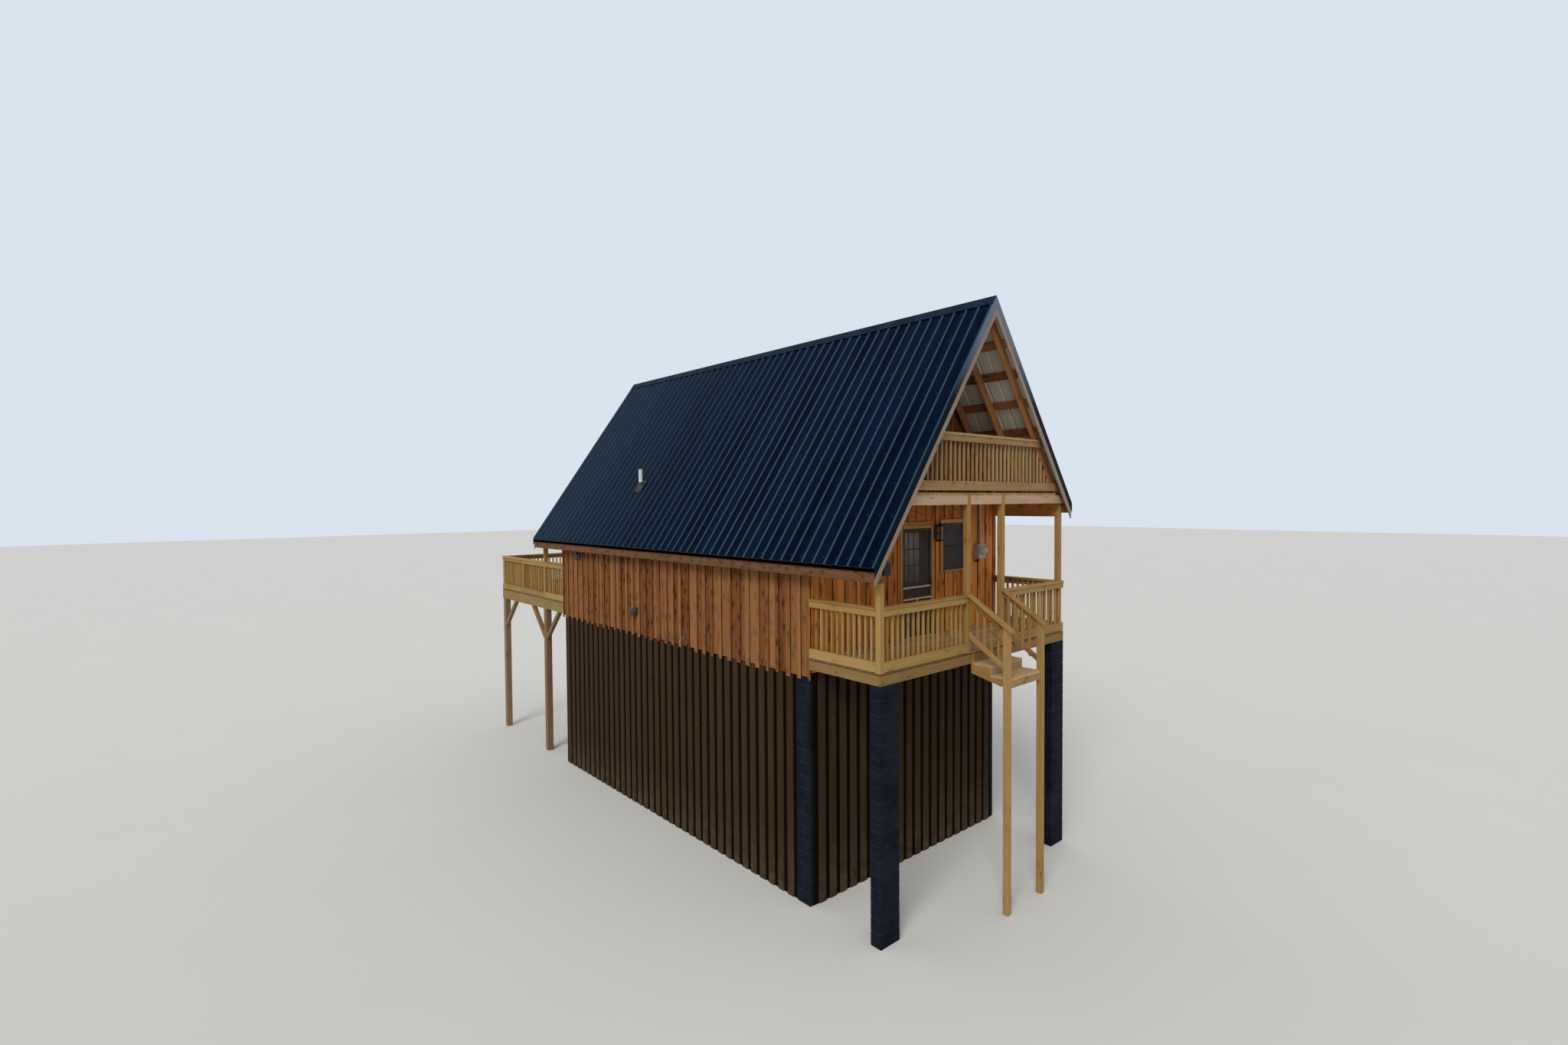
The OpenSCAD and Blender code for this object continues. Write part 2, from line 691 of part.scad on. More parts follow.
module porch_posts() {
    color(wood_new) placed() {
        square_post(-corner_x, post_half, post_w, deck_z, left_post_top);
        for (x = [post_x1, post_x2]) square_post(x, post_half, post_w, deck_z, header_top);
        square_post(corner_x, board_t + post_half, post_w, deck_z, header_bottom);
        square_post(-corner_x, rear_row1, post_w, deck_z, left_post_top);
        square_post(corner_x, rear_row1, post_w, deck_z, header_bottom);
    }
}
// Depth of a cap behind the outer face of its rail
cap_in = cap_board_w - cap_out;
// The front caps are notched round the posts that stand behind their outer strip
module porch_railings() {
    color(wood_new) placed() {
        difference() {
            bay_front(-half_w + post_w + seat, post_x1 - post_half, 0, post_w);
            block([post_x1 - post_half, 0, deck_z], [post_x1 + post_w, cap_in, deck_z + rail_top]);
        }
        difference() {
            bay_front(post_x2 + post_half, half_w);
            block([half_w - post_w, board_t, deck_z], [half_w, cap_in, deck_z + rail_top]);
        }
        bay_left(post_w, core_front, -max(0, cap_in - post_w) - seat);
        bay_right(board_t + post_w, core_front);
    }
}

// Stairs between the two inner posts: sawn stringers, treads and risers
step_z1 = deck_z - step_rise;
step_z2 = step_z1 - step_rise;
stringer_drop = 130;
riser_t = 25;
module stringer_outline() {
    back = [0, step_z1 - board_t - stringer_drop];
    toe = step_z2 - step_rise;
    polygon([[0, deck_z - deck_t], [-board_t, deck_z - deck_t], [-board_t, step_z1 - board_t],
        [-step_going, step_z1 - board_t], [-step_going, step_z2 - board_t],
        [-2 * step_going + riser_t, step_z2 - board_t], [-2 * step_going + riser_t, toe],
        [-1.5 * step_going, toe], back]);
}
module stair_stringers() {
    color(wood_new) placed() for (x = [post_x1 + post_half, post_x2 - post_half - board_t])
        along_x(x, x + board_t) stringer_outline();
}
module stair_steps() {
    x0 = post_x1 + post_half + seat;
    x1 = post_x2 - post_half - seat;
    color(wood_deck) placed() {
        block([x0, -step_going - riser_t, step_z1 - board_t], [x1, -board_t - seat, step_z1]);
        block([x0, -step_going - riser_t, step_z2 + seat], [x1, -step_going - seat, step_z1 - board_t - seat]);
        block([x0, -2 * step_going, step_z2 - board_t], [x1, -step_going - seat, step_z2]);
        block([x0, -2 * step_going, step_z2 - step_rise],
            [x1, -2 * step_going + riser_t - seat, step_z2 - board_t - seat]);
    }
}
// Each stair railing: a newel, and a sloping panel of a cap, two rails and four balusters.
// The upper rail's end is cut under the porch railing's cap
rail_y0 = -cap_out - seat;
newel_back = -newel_y + post_half;
cap_z0 = deck_z + rail_top;
cap_z1 = newel_z + board_t;
cap_fall = (cap_z0 - cap_z1) / (rail_y0 - handrail_end);
function cap_line(y) = cap_z0 - (rail_y0 - y) * cap_fall;
module fall_band(y0, y1, d0, d1) {
    polygon([[y0, cap_line(y0) - d0], [y1, cap_line(y1) - d0], [y1, cap_line(y1) - d1], [y0, cap_line(y0) - d1]]);
}
module upper_rail() {
    difference() {
        fall_band(-seat, newel_back + seat, board_t, board_t + rail_top_h);
        plate([rail_y0, cap_z0 - board_t - seat], [0, cap_z0 + rail_top]);
    }
}
module stair_railings() {
    color(wood_new) placed() for (side = [-1, 1]) {
        x = side < 0 ? post_x1 : post_x2;
        inward = x - side * (board_t / 2 + baluster_w / 2);
        newel_front = newel_back - post_w;
        along_x(x - post_half, x + post_half)
            polygon([[newel_front, 0], [newel_back, 0], [newel_back, cap_line(newel_back) - board_t - seat],
                [newel_front, cap_line(newel_front) - board_t - seat]]);
        union() {
            along_x(x - cap_board_w / 2, x + cap_board_w / 2) fall_band(rail_y0, handrail_end, 0, board_t);
            along_x(x - board_t / 2, x + board_t / 2) {
                upper_rail();
                fall_band(-seat, newel_back + seat, lower_rail_d, lower_rail_d + rail_top_h);
            }
            for (y = between(newel_back, 0, stair_baluster_pitch))
                along_x(inward - baluster_w / 2, inward + baluster_w / 2)
                    fall_band(y + baluster_w / 2, y - baluster_w / 2, board_t, lower_rail_d + rail_top_h);
        }
    }
}

// Rear deck on tall posts with knee braces
module rear_deck_frame() {
    top = deck_z - deck_t;
    color(wood_new) placed() {
        for (x = spread(-half_w + board_t / 2, half_w - board_t / 2, deck_joist_pitch))
            block([x - board_t / 2, core_rear, rear_rim_z], [x + board_t / 2, rear_end - board_t - seat, top]);
        block([-half_w, rear_end - board_t, rear_rim_z], [half_w, rear_end, top]);
    }
}
module rear_deck() { color(wood_deck) placed() deck_boards(core_rear, rear_end); }
module knee(y_post, way) {
    t = post_w * sqrt(2);
    y = y_post + way * (rear_post_w / 2 - 1);
    polygon([[y, rear_rim_z - brace_run], [y, rear_rim_z - brace_run + t],
        [y + way * (brace_run - t), rear_rim_z], [y + way * brace_run, rear_rim_z]]);
}
module rear_deck_posts() {
    color(wood_brown) placed() for (side = [-1, 1]) {
        union() {
            square_post(side * (half_w - rear_post_w / 2), rear_row1, rear_post_w, 0, rear_rim_z);
            brace_side(side) {
                knee(rear_row1, -1);
                knee(rear_row1, 1);
            }
        }
        union() {
            square_post(side * (half_w - rear_post_w / 2), rear_row2, rear_post_w, 0, rear_rim_z);
            brace_side(side) knee(rear_row2, -1);
        }
    }
}
module brace_side(side) {
    x = side * (half_w - post_half);
    along_x(x - post_half, x + post_half) children();
}
module rear_deck_railings() {
    corner_y = rear_end - board_t - post_half;
    mid_y = (rear_row1 + corner_y) / 2;
    over_mid = post_half - seat;
    over_corner = board_t + post_w - cap_in - seat;
    low_top = deck_z + rail_top - board_t - seat;
    w = post_w - 2 * seat;
    color(wood_new) placed() {
        bay_left(core_rear, rear_row1 - post_half - seat);
        bay_left(rear_row1 + post_half + seat, mid_y - post_half, 0, over_mid);
        bay_left(mid_y + post_half, corner_y - post_half, over_mid, over_corner);
        bay_right(core_rear, rear_row1 - post_half - seat);
        bay_right(rear_row1 + post_half + seat, mid_y - post_half, 0, over_mid);
        bay_right(mid_y + post_half, corner_y - post_half, over_mid, over_corner);
        bay_rear(-half_w, -post_half);
        bay_rear(post_half, half_w);
        for (side = [-1, 1], y = [mid_y, corner_y]) square_post(side * corner_x, y, w, deck_z, low_top);
        square_post(0, rear_end - post_half, w, deck_z, deck_z + rail_top);
    }
}

// Door frame: two jambs with their casings, a head and a sill
casing_y = front_y - jamb_t;
casing_over = casing_w - jamb_t;
module door_frame() {
    color(wood_brown) placed() {
        for (side = [-1, 1]) {
            x = side < 0 ? door_x0 : door_x1;
            xo = x + side * casing_over;
            xi = x - side * jamb_t;
            union() {
                block([min(x, xi), casing_y, floor_z], [max(x, xi), room_front, door_top]);
                block([min(x, xo), casing_y, floor_z], [max(x, xo), core_front, door_top + casing_over]);
            }
        }
        union() {
            block([door_x0 + jamb_t + seat, casing_y, door_top - jamb_t],
                [door_x1 - jamb_t - seat, room_front, door_top]);
            block([door_x0 + jamb_t + seat, casing_y, door_top],
                [door_x1 - jamb_t - seat, core_front, door_top + casing_over]);
        }
        block([door_x0, casing_y, deck_z], [door_x1, core_front, floor_z - seat]);
    }
}

// Door leaves turn about the pins of their hinges, on the left side
leaf_x0 = door_x0 + jamb_t + leaf_gap;
leaf_x1 = door_x1 - jamb_t - leaf_gap;
leaf_z0 = floor_z + leaf_gap;
leaf_z1 = door_top - jamb_t - leaf_gap;
leaf_mid = (leaf_x0 + leaf_x1) / 2;
front_leaf_y = room_front - door_t;
screen_leaf_y = casing_y;
knob_d = 54;
knob_z = floor_z + knob_h;
knob_stand = 30;
pin_r = 7;
pin_out = pin_r + seat;
pin_x = leaf_x0 - leaf_gap;
hinge_w = 32;
hinge_h = 90;
module lite(edge = 0) {
    plate([leaf_mid - lite_w / 2 - edge, floor_z + lite_z - edge],
        [leaf_mid + lite_w / 2 + edge, floor_z + lite_z + lite_h + edge]);
}
module leaf_slab() {
    difference() {
        plate([leaf_x0, leaf_z0], [leaf_x1, leaf_z1]);
        lite();
    }
}
module knob() {
    translate([0, 0, -1]) cylinder(d = knob_d / 3, h = knob_stand, $fn = 32);
    translate([0, 0, knob_stand - 2]) cylinder(d = knob_d, h = knob_d / 2, $fn = 48);
}
// Three hinges on a face at y, with their pins in front of it
module hinges(y, way) {
    for (k = [0.12, 0.5, 0.88]) {
        z = leaf_z0 + k * (leaf_z1 - leaf_z0) - hinge_h / 2;
        far = y + way * pin_out;
        translate([pin_x, far, z]) cylinder(r = pin_r, h = hinge_h, $fn = 24);
        block([leaf_x0, min(y - way, far), z], [leaf_x0 + hinge_w, max(y - way, far), z + hinge_h]);
        block([pin_x, min(y + way * seat, far), z], [leaf_x0 + 1, max(y + way * seat, far), z + hinge_h]);
    }
}
module front_door() {
    knob_x = leaf_x1 - 70;
    color("#e8e4da") placed() union() {
        along_y(front_leaf_y, room_front) leaf_slab();
        translate([knob_x, front_leaf_y, knob_z]) rotate([90, 0, 0]) knob();
        translate([knob_x, room_front, knob_z]) rotate([-90, 0, 0]) knob();
        hinges(room_front, 1);
    }
}
module front_door_glass() {
    color(glass_dark) placed() along_y(front_leaf_y + door_t / 2 - 4, front_leaf_y + door_t / 2 + 4) lite(-seat);
}
// Screen door: side rails, top and bottom rails and two cross rails round dark mesh
module screen_opening(z0, z1) {
    plate([leaf_x0 + screen_rail_w, z0], [leaf_x1 - screen_rail_w, z1]);
}
module screen_openings() {
    cross_t = 30;
    low = floor_z + screen_cross_z;
    screen_opening(leaf_z0 + 2 * screen_rail_w, low);
    screen_opening(low + cross_t, low + screen_cross_gap);
    screen_opening(low + screen_cross_gap + cross_t, leaf_z1 - screen_rail_w);
}
module screen_door() {
    color("#5a3b22") placed() union() {
        along_y(screen_leaf_y, screen_leaf_y + screen_t) difference() {
            plate([leaf_x0, leaf_z0], [leaf_x1, leaf_z1]);
            screen_openings();
        }
        hinges(screen_leaf_y, -1);
        translate([leaf_x1 - screen_rail_w / 2, screen_leaf_y, knob_z]) rotate([90, 0, 0])
            cylinder(d = 20, h = knob_stand, $fn = 32);
    }
}
module screen_mesh() {
    mid = screen_leaf_y + screen_t / 2;
    color(glass_dark) placed() along_y(mid - 2, mid + 2) screen_openings();
}

// Windows in the front and rear walls, and the rear door
module mirrored_to_rear() { translate([0, front_y + rear_y, 0]) mirror([0, 1, 0]) children(); }
module window_trim() {
    along_y(casing_y, core_front) difference() {
        window_hole(jamb_t - casing_w);
        window_hole();
    }
    along_y(casing_y, room_front) difference() {
        window_hole();
        window_hole(jamb_t);
    }
}
module window_frame() {
    color(wood_brown) placed() {
        window_trim();
        mirrored_to_rear() window_trim();
    }
}
module window_panes() {
    color(glass_dark) placed() {
        along_y(core_front, core_front + 6) window_hole(jamb_t);
        mirrored_to_rear() along_y(core_front, core_front + 6) window_hole(jamb_t);
    }
}
module rear_door() {
    color("#e8e4da") placed() mirrored_to_rear() union() {
        along_y(casing_y, core_front) difference() {
            plate([door_x0 - casing_w + jamb_t, floor_z], [door_x1 + casing_w - jamb_t, door_top + casing_w - jamb_t]);
            plate([door_x0 + jamb_t, floor_z], [door_x1 - jamb_t, door_top - jamb_t]);
        }
        along_y(core_front - 1, core_front + door_t) plate([door_x0, floor_z], [door_x1, door_top]);
    }
}

// Lanterns: a back plate, a cage round the glass and a pitched cap
module lantern(w, h) {
    depth = 0.9 * w;
    stand = 0.35 * w;
    block([-w / 3, -siding_t, 0.15 * h], [w / 3, stand, 0.85 * h]);
    along_x(-w / 2, w / 2) polygon([[stand - 1, 0.82 * h], [stand + depth, 0.82 * h],
        [stand + 0.75 * depth, h], [stand + 0.25 * depth, h], [stand - 1, 0.9 * h]]);
    block([-w * 0.4, stand - 1, 0.1 * h], [w * 0.4, stand + 0.9 * depth, 0.83 * h]);
    block([-w * 0.45, stand - 1, 0], [w * 0.45, stand + 0.95 * depth, 0.1 * h + 1]);
}
module wall_lamps() {
    color("#1c1a18") placed() {
        translate([lantern_x, front_y, rim_z + lantern_z]) rotate([0, 0, 180]) lantern(lantern_w, lantern_h);
        translate([-half_w, lamp_y, rim_z + lamp_z]) rotate([0, 0, 90]) lantern(0.6 * lamp_h, lamp_h);
    }
}

// Meter box with a round glass and a conduit up to the loft, and a junction box
module electric_meter() {
    z = rim_z + meter_z;
    y0 = front_y - meter_depth;
    color(metal_grey) placed() {
        union() {
            block([meter_x - meter_w / 2, y0, z], [meter_x + meter_w / 2, core_front, z + meter_h]);
            translate([meter_x, y0 + 1, z + 0.58 * meter_h]) rotate([90, 0, 0])
                cylinder(d1 = meter_glass_d, d2 = 0.8 * meter_glass_d, h = 0.6 * meter_glass_d, $fn = 64);
            translate([meter_x + conduit_x, front_y - conduit_d / 2, z + meter_h - 1])
                cylinder(d = conduit_d, h = header_bottom - z - meter_h + 1, $fn = 32);
        }
        block([-junction_x - junction_w / 2, front_y - junction_depth, rim_z + junction_z],
            [-junction_x + junction_w / 2, core_front, rim_z + junction_z + junction_h]);
    }
}

// Garden tap: a flange, a pipe out to the valve, its wheel above and its spout below
module garden_tap() {
    translate([-half_w, tap_y, rim_z]) {
        rotate([0, -90, 0]) {
            translate([0, 0, -siding_t]) cylinder(d = 2.2 * tap_d, h = siding_t + 0.4 * tap_d, $fn = 32);
            cylinder(d = tap_d, h = tap_reach - tap_d / 2, $fn = 32);
        }
        translate([tap_d - tap_reach, 0, 0]) {
            cylinder(d = 0.8 * tap_d, h = 1.8 * tap_d, $fn = 32);
            translate([0, 0, 1.5 * tap_d]) cylinder(d = 2 * tap_d, h = 0.5 * tap_d, $fn = 32);
        }
        translate([tap_d / 2 - tap_reach, 0, -2 * tap_d]) cylinder(d = tap_d, h = 2.5 * tap_d, $fn = 32);
    }
}

// Vent pipe with its boot on the roof, and the vent hood and the tap on the left wall
module vents() {
    foot = roof_top(-vent_x);
    color("#cfd2d4") placed() {
        difference() {
            translate([-vent_x, vent_y, foot - boot_d]) union() {
                cylinder(d = vent_d, h = vent_h + boot_d, $fn = 48);
                cylinder(d = boot_d, h = boot_d + boot_h, $fn = 48);
            }
            along_y(0, rear_y) polygon([[-house_w, 0], [-house_w, roof_layer(-house_w, -rib_h - seat)],
                [ridge_x - seat, roof_layer(ridge_x - seat, -rib_h - seat)], [ridge_x - seat, 0]]);
        }
        along_y(hood_y - hood_w / 2, hood_y + hood_w / 2) polygon([
            [-core, rim_z + hood_z], [-half_w - 0.7 * hood_w, rim_z + hood_z],
            [-half_w - 0.5 * hood_w, rim_z + hood_z + 0.8 * hood_w], [-core, rim_z + hood_z + hood_w]]);
        garden_tap();
    }
}

skirting();
block_piers();
floor_joists();
house_floor();
left_wall();
right_wall();
front_wall_left();
front_wall_right();
front_wall_over_door();
rear_wall();
gable_walls();
loft_joists();
loft_floor();
rafters();
ridge_board();
purlins();
roof_sheets();
ridge_cap();
rake_trims();
rake_boards();
eave_boards();
eave_beams();
balcony_beam();
balcony_railing();
porch_frame();
porch_deck();
porch_posts();
porch_railings();
stair_stringers();
stair_steps();
stair_railings();
rear_deck_frame();
rear_deck();
rear_deck_posts();
rear_deck_railings();
door_frame();
front_door();
front_door_glass();
screen_door();
screen_mesh();
window_frame();
window_panes();
rear_door();
wall_lamps();
electric_meter();
vents();
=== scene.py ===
import math
import random

import bmesh
import bpy
from mathutils import Matrix, Vector


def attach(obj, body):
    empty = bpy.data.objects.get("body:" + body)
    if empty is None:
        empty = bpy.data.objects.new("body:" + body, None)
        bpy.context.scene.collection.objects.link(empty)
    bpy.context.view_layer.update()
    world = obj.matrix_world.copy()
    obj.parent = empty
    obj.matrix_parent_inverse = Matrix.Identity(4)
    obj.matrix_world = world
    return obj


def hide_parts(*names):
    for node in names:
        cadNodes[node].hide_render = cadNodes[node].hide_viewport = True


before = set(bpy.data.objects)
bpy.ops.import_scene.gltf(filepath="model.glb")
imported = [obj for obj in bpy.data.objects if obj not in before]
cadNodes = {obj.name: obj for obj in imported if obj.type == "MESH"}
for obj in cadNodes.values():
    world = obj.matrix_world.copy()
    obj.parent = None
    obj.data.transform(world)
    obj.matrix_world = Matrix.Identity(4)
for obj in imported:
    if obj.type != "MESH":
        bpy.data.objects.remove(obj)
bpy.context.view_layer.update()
scene = bpy.context.scene
scene.view_settings.view_transform = "Standard"
print("frame loaded:", len(cadNodes), "nodes")

# the cabin's main sizes in metres, measured from its middle line and the porch rim's front face
cabin = {
    "shiftX": 0.07512, "shiftY": -6.47775,
    "half": 2.44, "core": 2.415, "skin": 0.025, "front": 1.37, "rear": 9.85, "farEnd": 13.65,
    "deck": 3.765, "floor": 3.79, "rimFoot": 3.6, "sidingFoot": 3.47, "header": 6.03, "loft": 6.208,
    "ridgeX": 0.15, "ridge": 9.208, "leftSlope": 3.669 / 2.59, "rightSlope": 3.101 / 2.29,
    "roofFront": -0.11, "roofRear": 10.96, "leftReach": 2.82, "rightReach": 2.37,
    "board": 0.038, "post": 0.089, "seat": 0.0003, "baluster": 0.033, "balusterPitch": 0.114,
    "railTop": 0.895, "capWidth": 0.107, "capOut": 0.012,
    "postLeftX": 0.062 - 0.4625, "postRightX": 0.062 + 0.4625,
    "doorX": 0.055, "doorHalf": 0.402, "doorTop": 5.642, "casing": 0.065, "liner": 0.019, "casingOut": 0.019,
    "windowX": 1.101, "windowHalf": 0.349, "windowFoot": 4.847, "windowTop": 5.717, "sillDrop": 0.012,
    "wallDeep": 0.149,
}
shift = Vector((cabin["shiftX"], cabin["shiftY"], 0))
coreFront, coreRear = cabin["front"] + cabin["skin"], cabin["rear"] - cabin["skin"]    # end walls behind their boards
capIn = cabin["capWidth"] - cabin["capOut"]
casingOver = cabin["casing"] - cabin["liner"]  # how far a casing laps past its opening
endToEnd = cabin["front"] + cabin["rear"]      # this less a depth at the front is the same depth at the rear


def slopeOf(side):
    return cabin["leftSlope"] if side < 0 else cabin["rightSlope"]


def roofAt(x, depth):                          # height of a layer below the roof's flats
    slope = slopeOf(-1 if x < cabin["ridgeX"] else 1)
    return cabin["ridge"] - abs(x - cabin["ridgeX"]) * slope - depth * math.sqrt(1 + slope * slope)


def underX(side, z, depth):                    # where a roof layer comes down to a height
    slope = slopeOf(side)
    return cabin["ridgeX"] + side * (cabin["ridge"] - depth * math.sqrt(1 + slope * slope) - z) / slope


def spread(a, b, step):                        # even places from a to b, no further apart than the step
    count = max(1, math.ceil((b - a) / step - 0.001))
    return [a + (b - a) * i / count for i in range(count + 1)]


camera = {"place": (-9.825, -6.509, 6.099), "yaw": 41.172, "down": 1.654, "roll": -0.4, "film": 36,
          "focal": 958 / 2048, "clip": 400}


def setCamera(look):
    yaw, down, roll = (math.radians(look[key]) for key in ("yaw", "down", "roll"))
    ahead = Vector((math.sin(yaw) * math.cos(down), math.cos(yaw) * math.cos(down), -math.sin(down)))
    right = Vector((math.cos(yaw), -math.sin(yaw), 0))
    below = ahead.cross(right)
    turnedRight = right * math.cos(roll) - below * math.sin(roll)
    turnedBelow = right * math.sin(roll) + below * math.cos(roll)
    turn = Matrix((turnedRight, -turnedBelow, -ahead)).transposed().to_4x4()
    lens = bpy.data.cameras.new("photoCamera")
    lens.sensor_width = look["film"]
    lens.lens = look["focal"] * look["film"]
    lens.clip_end = look["clip"]
    eye = bpy.data.objects.new("photoCamera", lens)
    eye.matrix_world = Matrix.Translation(Vector(look["place"]) + shift) @ turn
    scene.collection.objects.link(eye)
    scene.camera = eye


setCamera(camera)


class Wire:                                    # one output of a material's node, with sums on it
    def __init__(self, tree, socket):
        self.tree = tree
        self.socket = socket

    def node(self, kind, settings, inputs, output=0):
        made = self.tree.nodes.new("ShaderNode" + kind)
        for name, value in settings.items():
            setattr(made, name, value)
        for name, value in inputs.items():
            feed(made, name, value)
        return Wire(self.tree, made.outputs[output])

    def sum(self, operation, first, second=0.0, clamp=False):
        return self.node("Math", {"operation": operation, "use_clamp": clamp}, {0: first, 1: second})

    def __add__(self, other):
        return self.sum("ADD", self, other)

    def __radd__(self, other):
        return self.sum("ADD", other, self)

    def __sub__(self, other):
        return self.sum("SUBTRACT", self, other)

    def __rsub__(self, other):
        return self.sum("SUBTRACT", other, self)

    def __mul__(self, other):
        return self.sum("MULTIPLY", self, other)

    def __rmul__(self, other):
        return self.sum("MULTIPLY", other, self)

    def __truediv__(self, other):
        return self.sum("DIVIDE", self, other)

    def __pow__(self, other):
        return self.sum("POWER", self, other)

    def clamp(self):
        return self.sum("ADD", self, 0.0, True)

    def between(self, low, high):              # 0 below low, 1 above high
        return self.node("MapRange", {"clamp": True}, {0: self, 1: low, 2: high, 3: 0.0, 4: 1.0})

    def stretch(self, scale):
        return self.node("VectorMath", {"operation": "MULTIPLY"}, {0: self, 1: scale})

    def parts(self):
        split = self.node("SeparateXYZ", {}, {0: self}).socket.node
        return [Wire(self.tree, output) for output in split.outputs]

    def noise(self, scale, detail=3.0, rough=0.5):
        return self.node("TexNoise", {}, {"Vector": self, "Scale": scale, "Detail": detail, "Roughness": rough})

    def blend(self, factor, first, second, way="MIX"):     # colours are wires or plain triples
        inputs = {0: factor}
        for socket, colour in ((6, first), (7, second)):
            inputs[socket] = colour if isinstance(colour, Wire) else (*colour, 1.0)
        return self.node("Mix", {"data_type": "RGBA", "blend_type": way, "clamp_factor": True}, inputs, 2)


def feed(node, socket, value):                 # a link from a wire, or else a set value
    if isinstance(value, Wire):
        value.tree.links.new(value.socket, node.inputs[socket])
    else:
        node.inputs[socket].default_value = value


def newFinish(name):                           # an empty material, its shader, and a wire of Object coordinates
    material = bpy.data.materials.new(name)
    material.use_nodes = True
    tree = material.node_tree
    return material, tree.nodes["Principled BSDF"], Wire(tree, None).node("TexCoord", {}, {}, 3)


def dress(shader, inputs, height, strength, distance):     # feeds the shader, and its bump from a height
    bump = height.node("Bump", {}, {"Strength": strength, "Distance": distance, "Height": height})
    for socket, value in {**inputs, "Normal": bump}.items():
        feed(shader, socket, value)


def scaled(colour, factor):
    return [channel * factor for channel in colour]


fibres = {"drift": (0.9, 5, 5), "streak": (0.7, 24, 24), "fibre": (5, 170, 170), "seam": 0.003,
          "seamDirt": (0.02, 0.012, 0.006), "corner": (-2.30, -2.22)}


def woodFinish(name, look):
    material, shader, place = newFinish(name)
    if "run" in look:                          # CAD nodes have no marks, so their fibres follow one axis
        turn = {"y": (0, 0, math.pi / 2), "z": (0, math.pi / 2, 0)}[look["run"]]
        grain = place.node("Mapping", {}, {"Vector": place, "Rotation": turn})
        across = grain.parts()[1]
        board = place.sum("FLOOR", across / look["width"])
        tone = place.node("TexWhiteNoise", {"noise_dimensions": "1D"}, {"W": board}, 0)
        seam = 1 - place.sum("PINGPONG", across, look["width"] / 2).between(0.0, fibres["seam"])
    else:
        grain = place.node("Attribute", {"attribute_name": "grain"}, {}, 1)
        tone = place.node("Attribute", {"attribute_name": "tone"}, {}, 2)
        seam = None
    along, across, deep = grain.parts()
    flat = place.node("CombineXYZ", {}, {0: along, 1: across + deep, 2: 0.0})
    drift = grain.stretch(fibres["drift"]).noise(1, 3)
    streak = grain.stretch(fibres["streak"]).noise(1, 4, 0.6)
    fibre = grain.stretch(fibres["fibre"]).noise(1, 3, 0.6)
    spots = place.node("TexVoronoi", {"voronoi_dimensions": "2D"}, {
        "Vector": flat.stretch((look["knotRun"], look["knotAcross"], 1)), "Scale": 1.0, "Randomness": 1.0})
    knot = 1 - spots.between(look["knotSize"] * 0.55, look["knotSize"])
    halo = 1 - spots.between(look["knotSize"], look["knotSize"] * 3.2)
    wander = (drift - 0.5) * 0.07 + halo * 0.012           # the rings bend a little round the knots
    offAcross, offDeep = across + wander, deep + wander
    radius = (offAcross * offAcross + offDeep * offDeep) ** 0.5
    late = (place.sum("SINE", radius * (math.tau / look["ring"])) * 0.5 + 0.5) ** 2.5
    shade = (late * 0.45 + streak.between(0.3, 0.72) * 0.75 + (fibre - 0.5) * 0.35 + halo * 0.2).clamp()
    colour = place.blend(shade, look["pale"], look["dark"])
    colour = place.blend(knot * look["knotDepth"], colour, look["knot"])
    colour = place.blend(tone * look["mixed"], colour, look["other"])
    level = 1 + (tone - 0.5) * look["spread"]
    grey = place.node("CombineColor", {}, {0: level, 1: level, 2: level})
    colour = place.blend(1.0, colour, grey, "MULTIPLY")
    if look.get("edge"):                       # painted shade: the edge faces of boards are darkened as if in shadow
        normal = place.node("NewGeometry", {}, {}, 1).parts()
        edge = sum((place.sum("ABSOLUTE", normal["xyz".index(axis)]) for axis in look["edge"]), 0.0)
        colour = place.blend(edge.between(0.4, 0.95) * 0.86, colour, scaled(look["knot"], 0.3))
    if "paintedShade" in look:                    # painted shade: boards close under the balcony and in the left corner are darkened as if in shadow
        x, y, z = place.parts()
        shadeMask = (z.between(*look["paintedShade"]) * 0.42 + (1 - x.between(*fibres["corner"])) * 0.6).clamp()
        colour = place.blend(shadeMask, colour, scaled(look["dark"], 0.42))
    if seam:
        colour = place.blend(seam * 0.75, colour, fibres["seamDirt"])
    rough = (look["rough"] + (streak - 0.5) * 0.25 + late * -0.06).clamp()
    height = fibre * look["rasp"] + late * -0.25 + knot * -0.35 + streak * 0.4
    dress(shader, {"Base Color": colour, "Roughness": rough, "Specular IOR Level": look["gloss"]},
          height, 0.55, look["depth"])
    return material
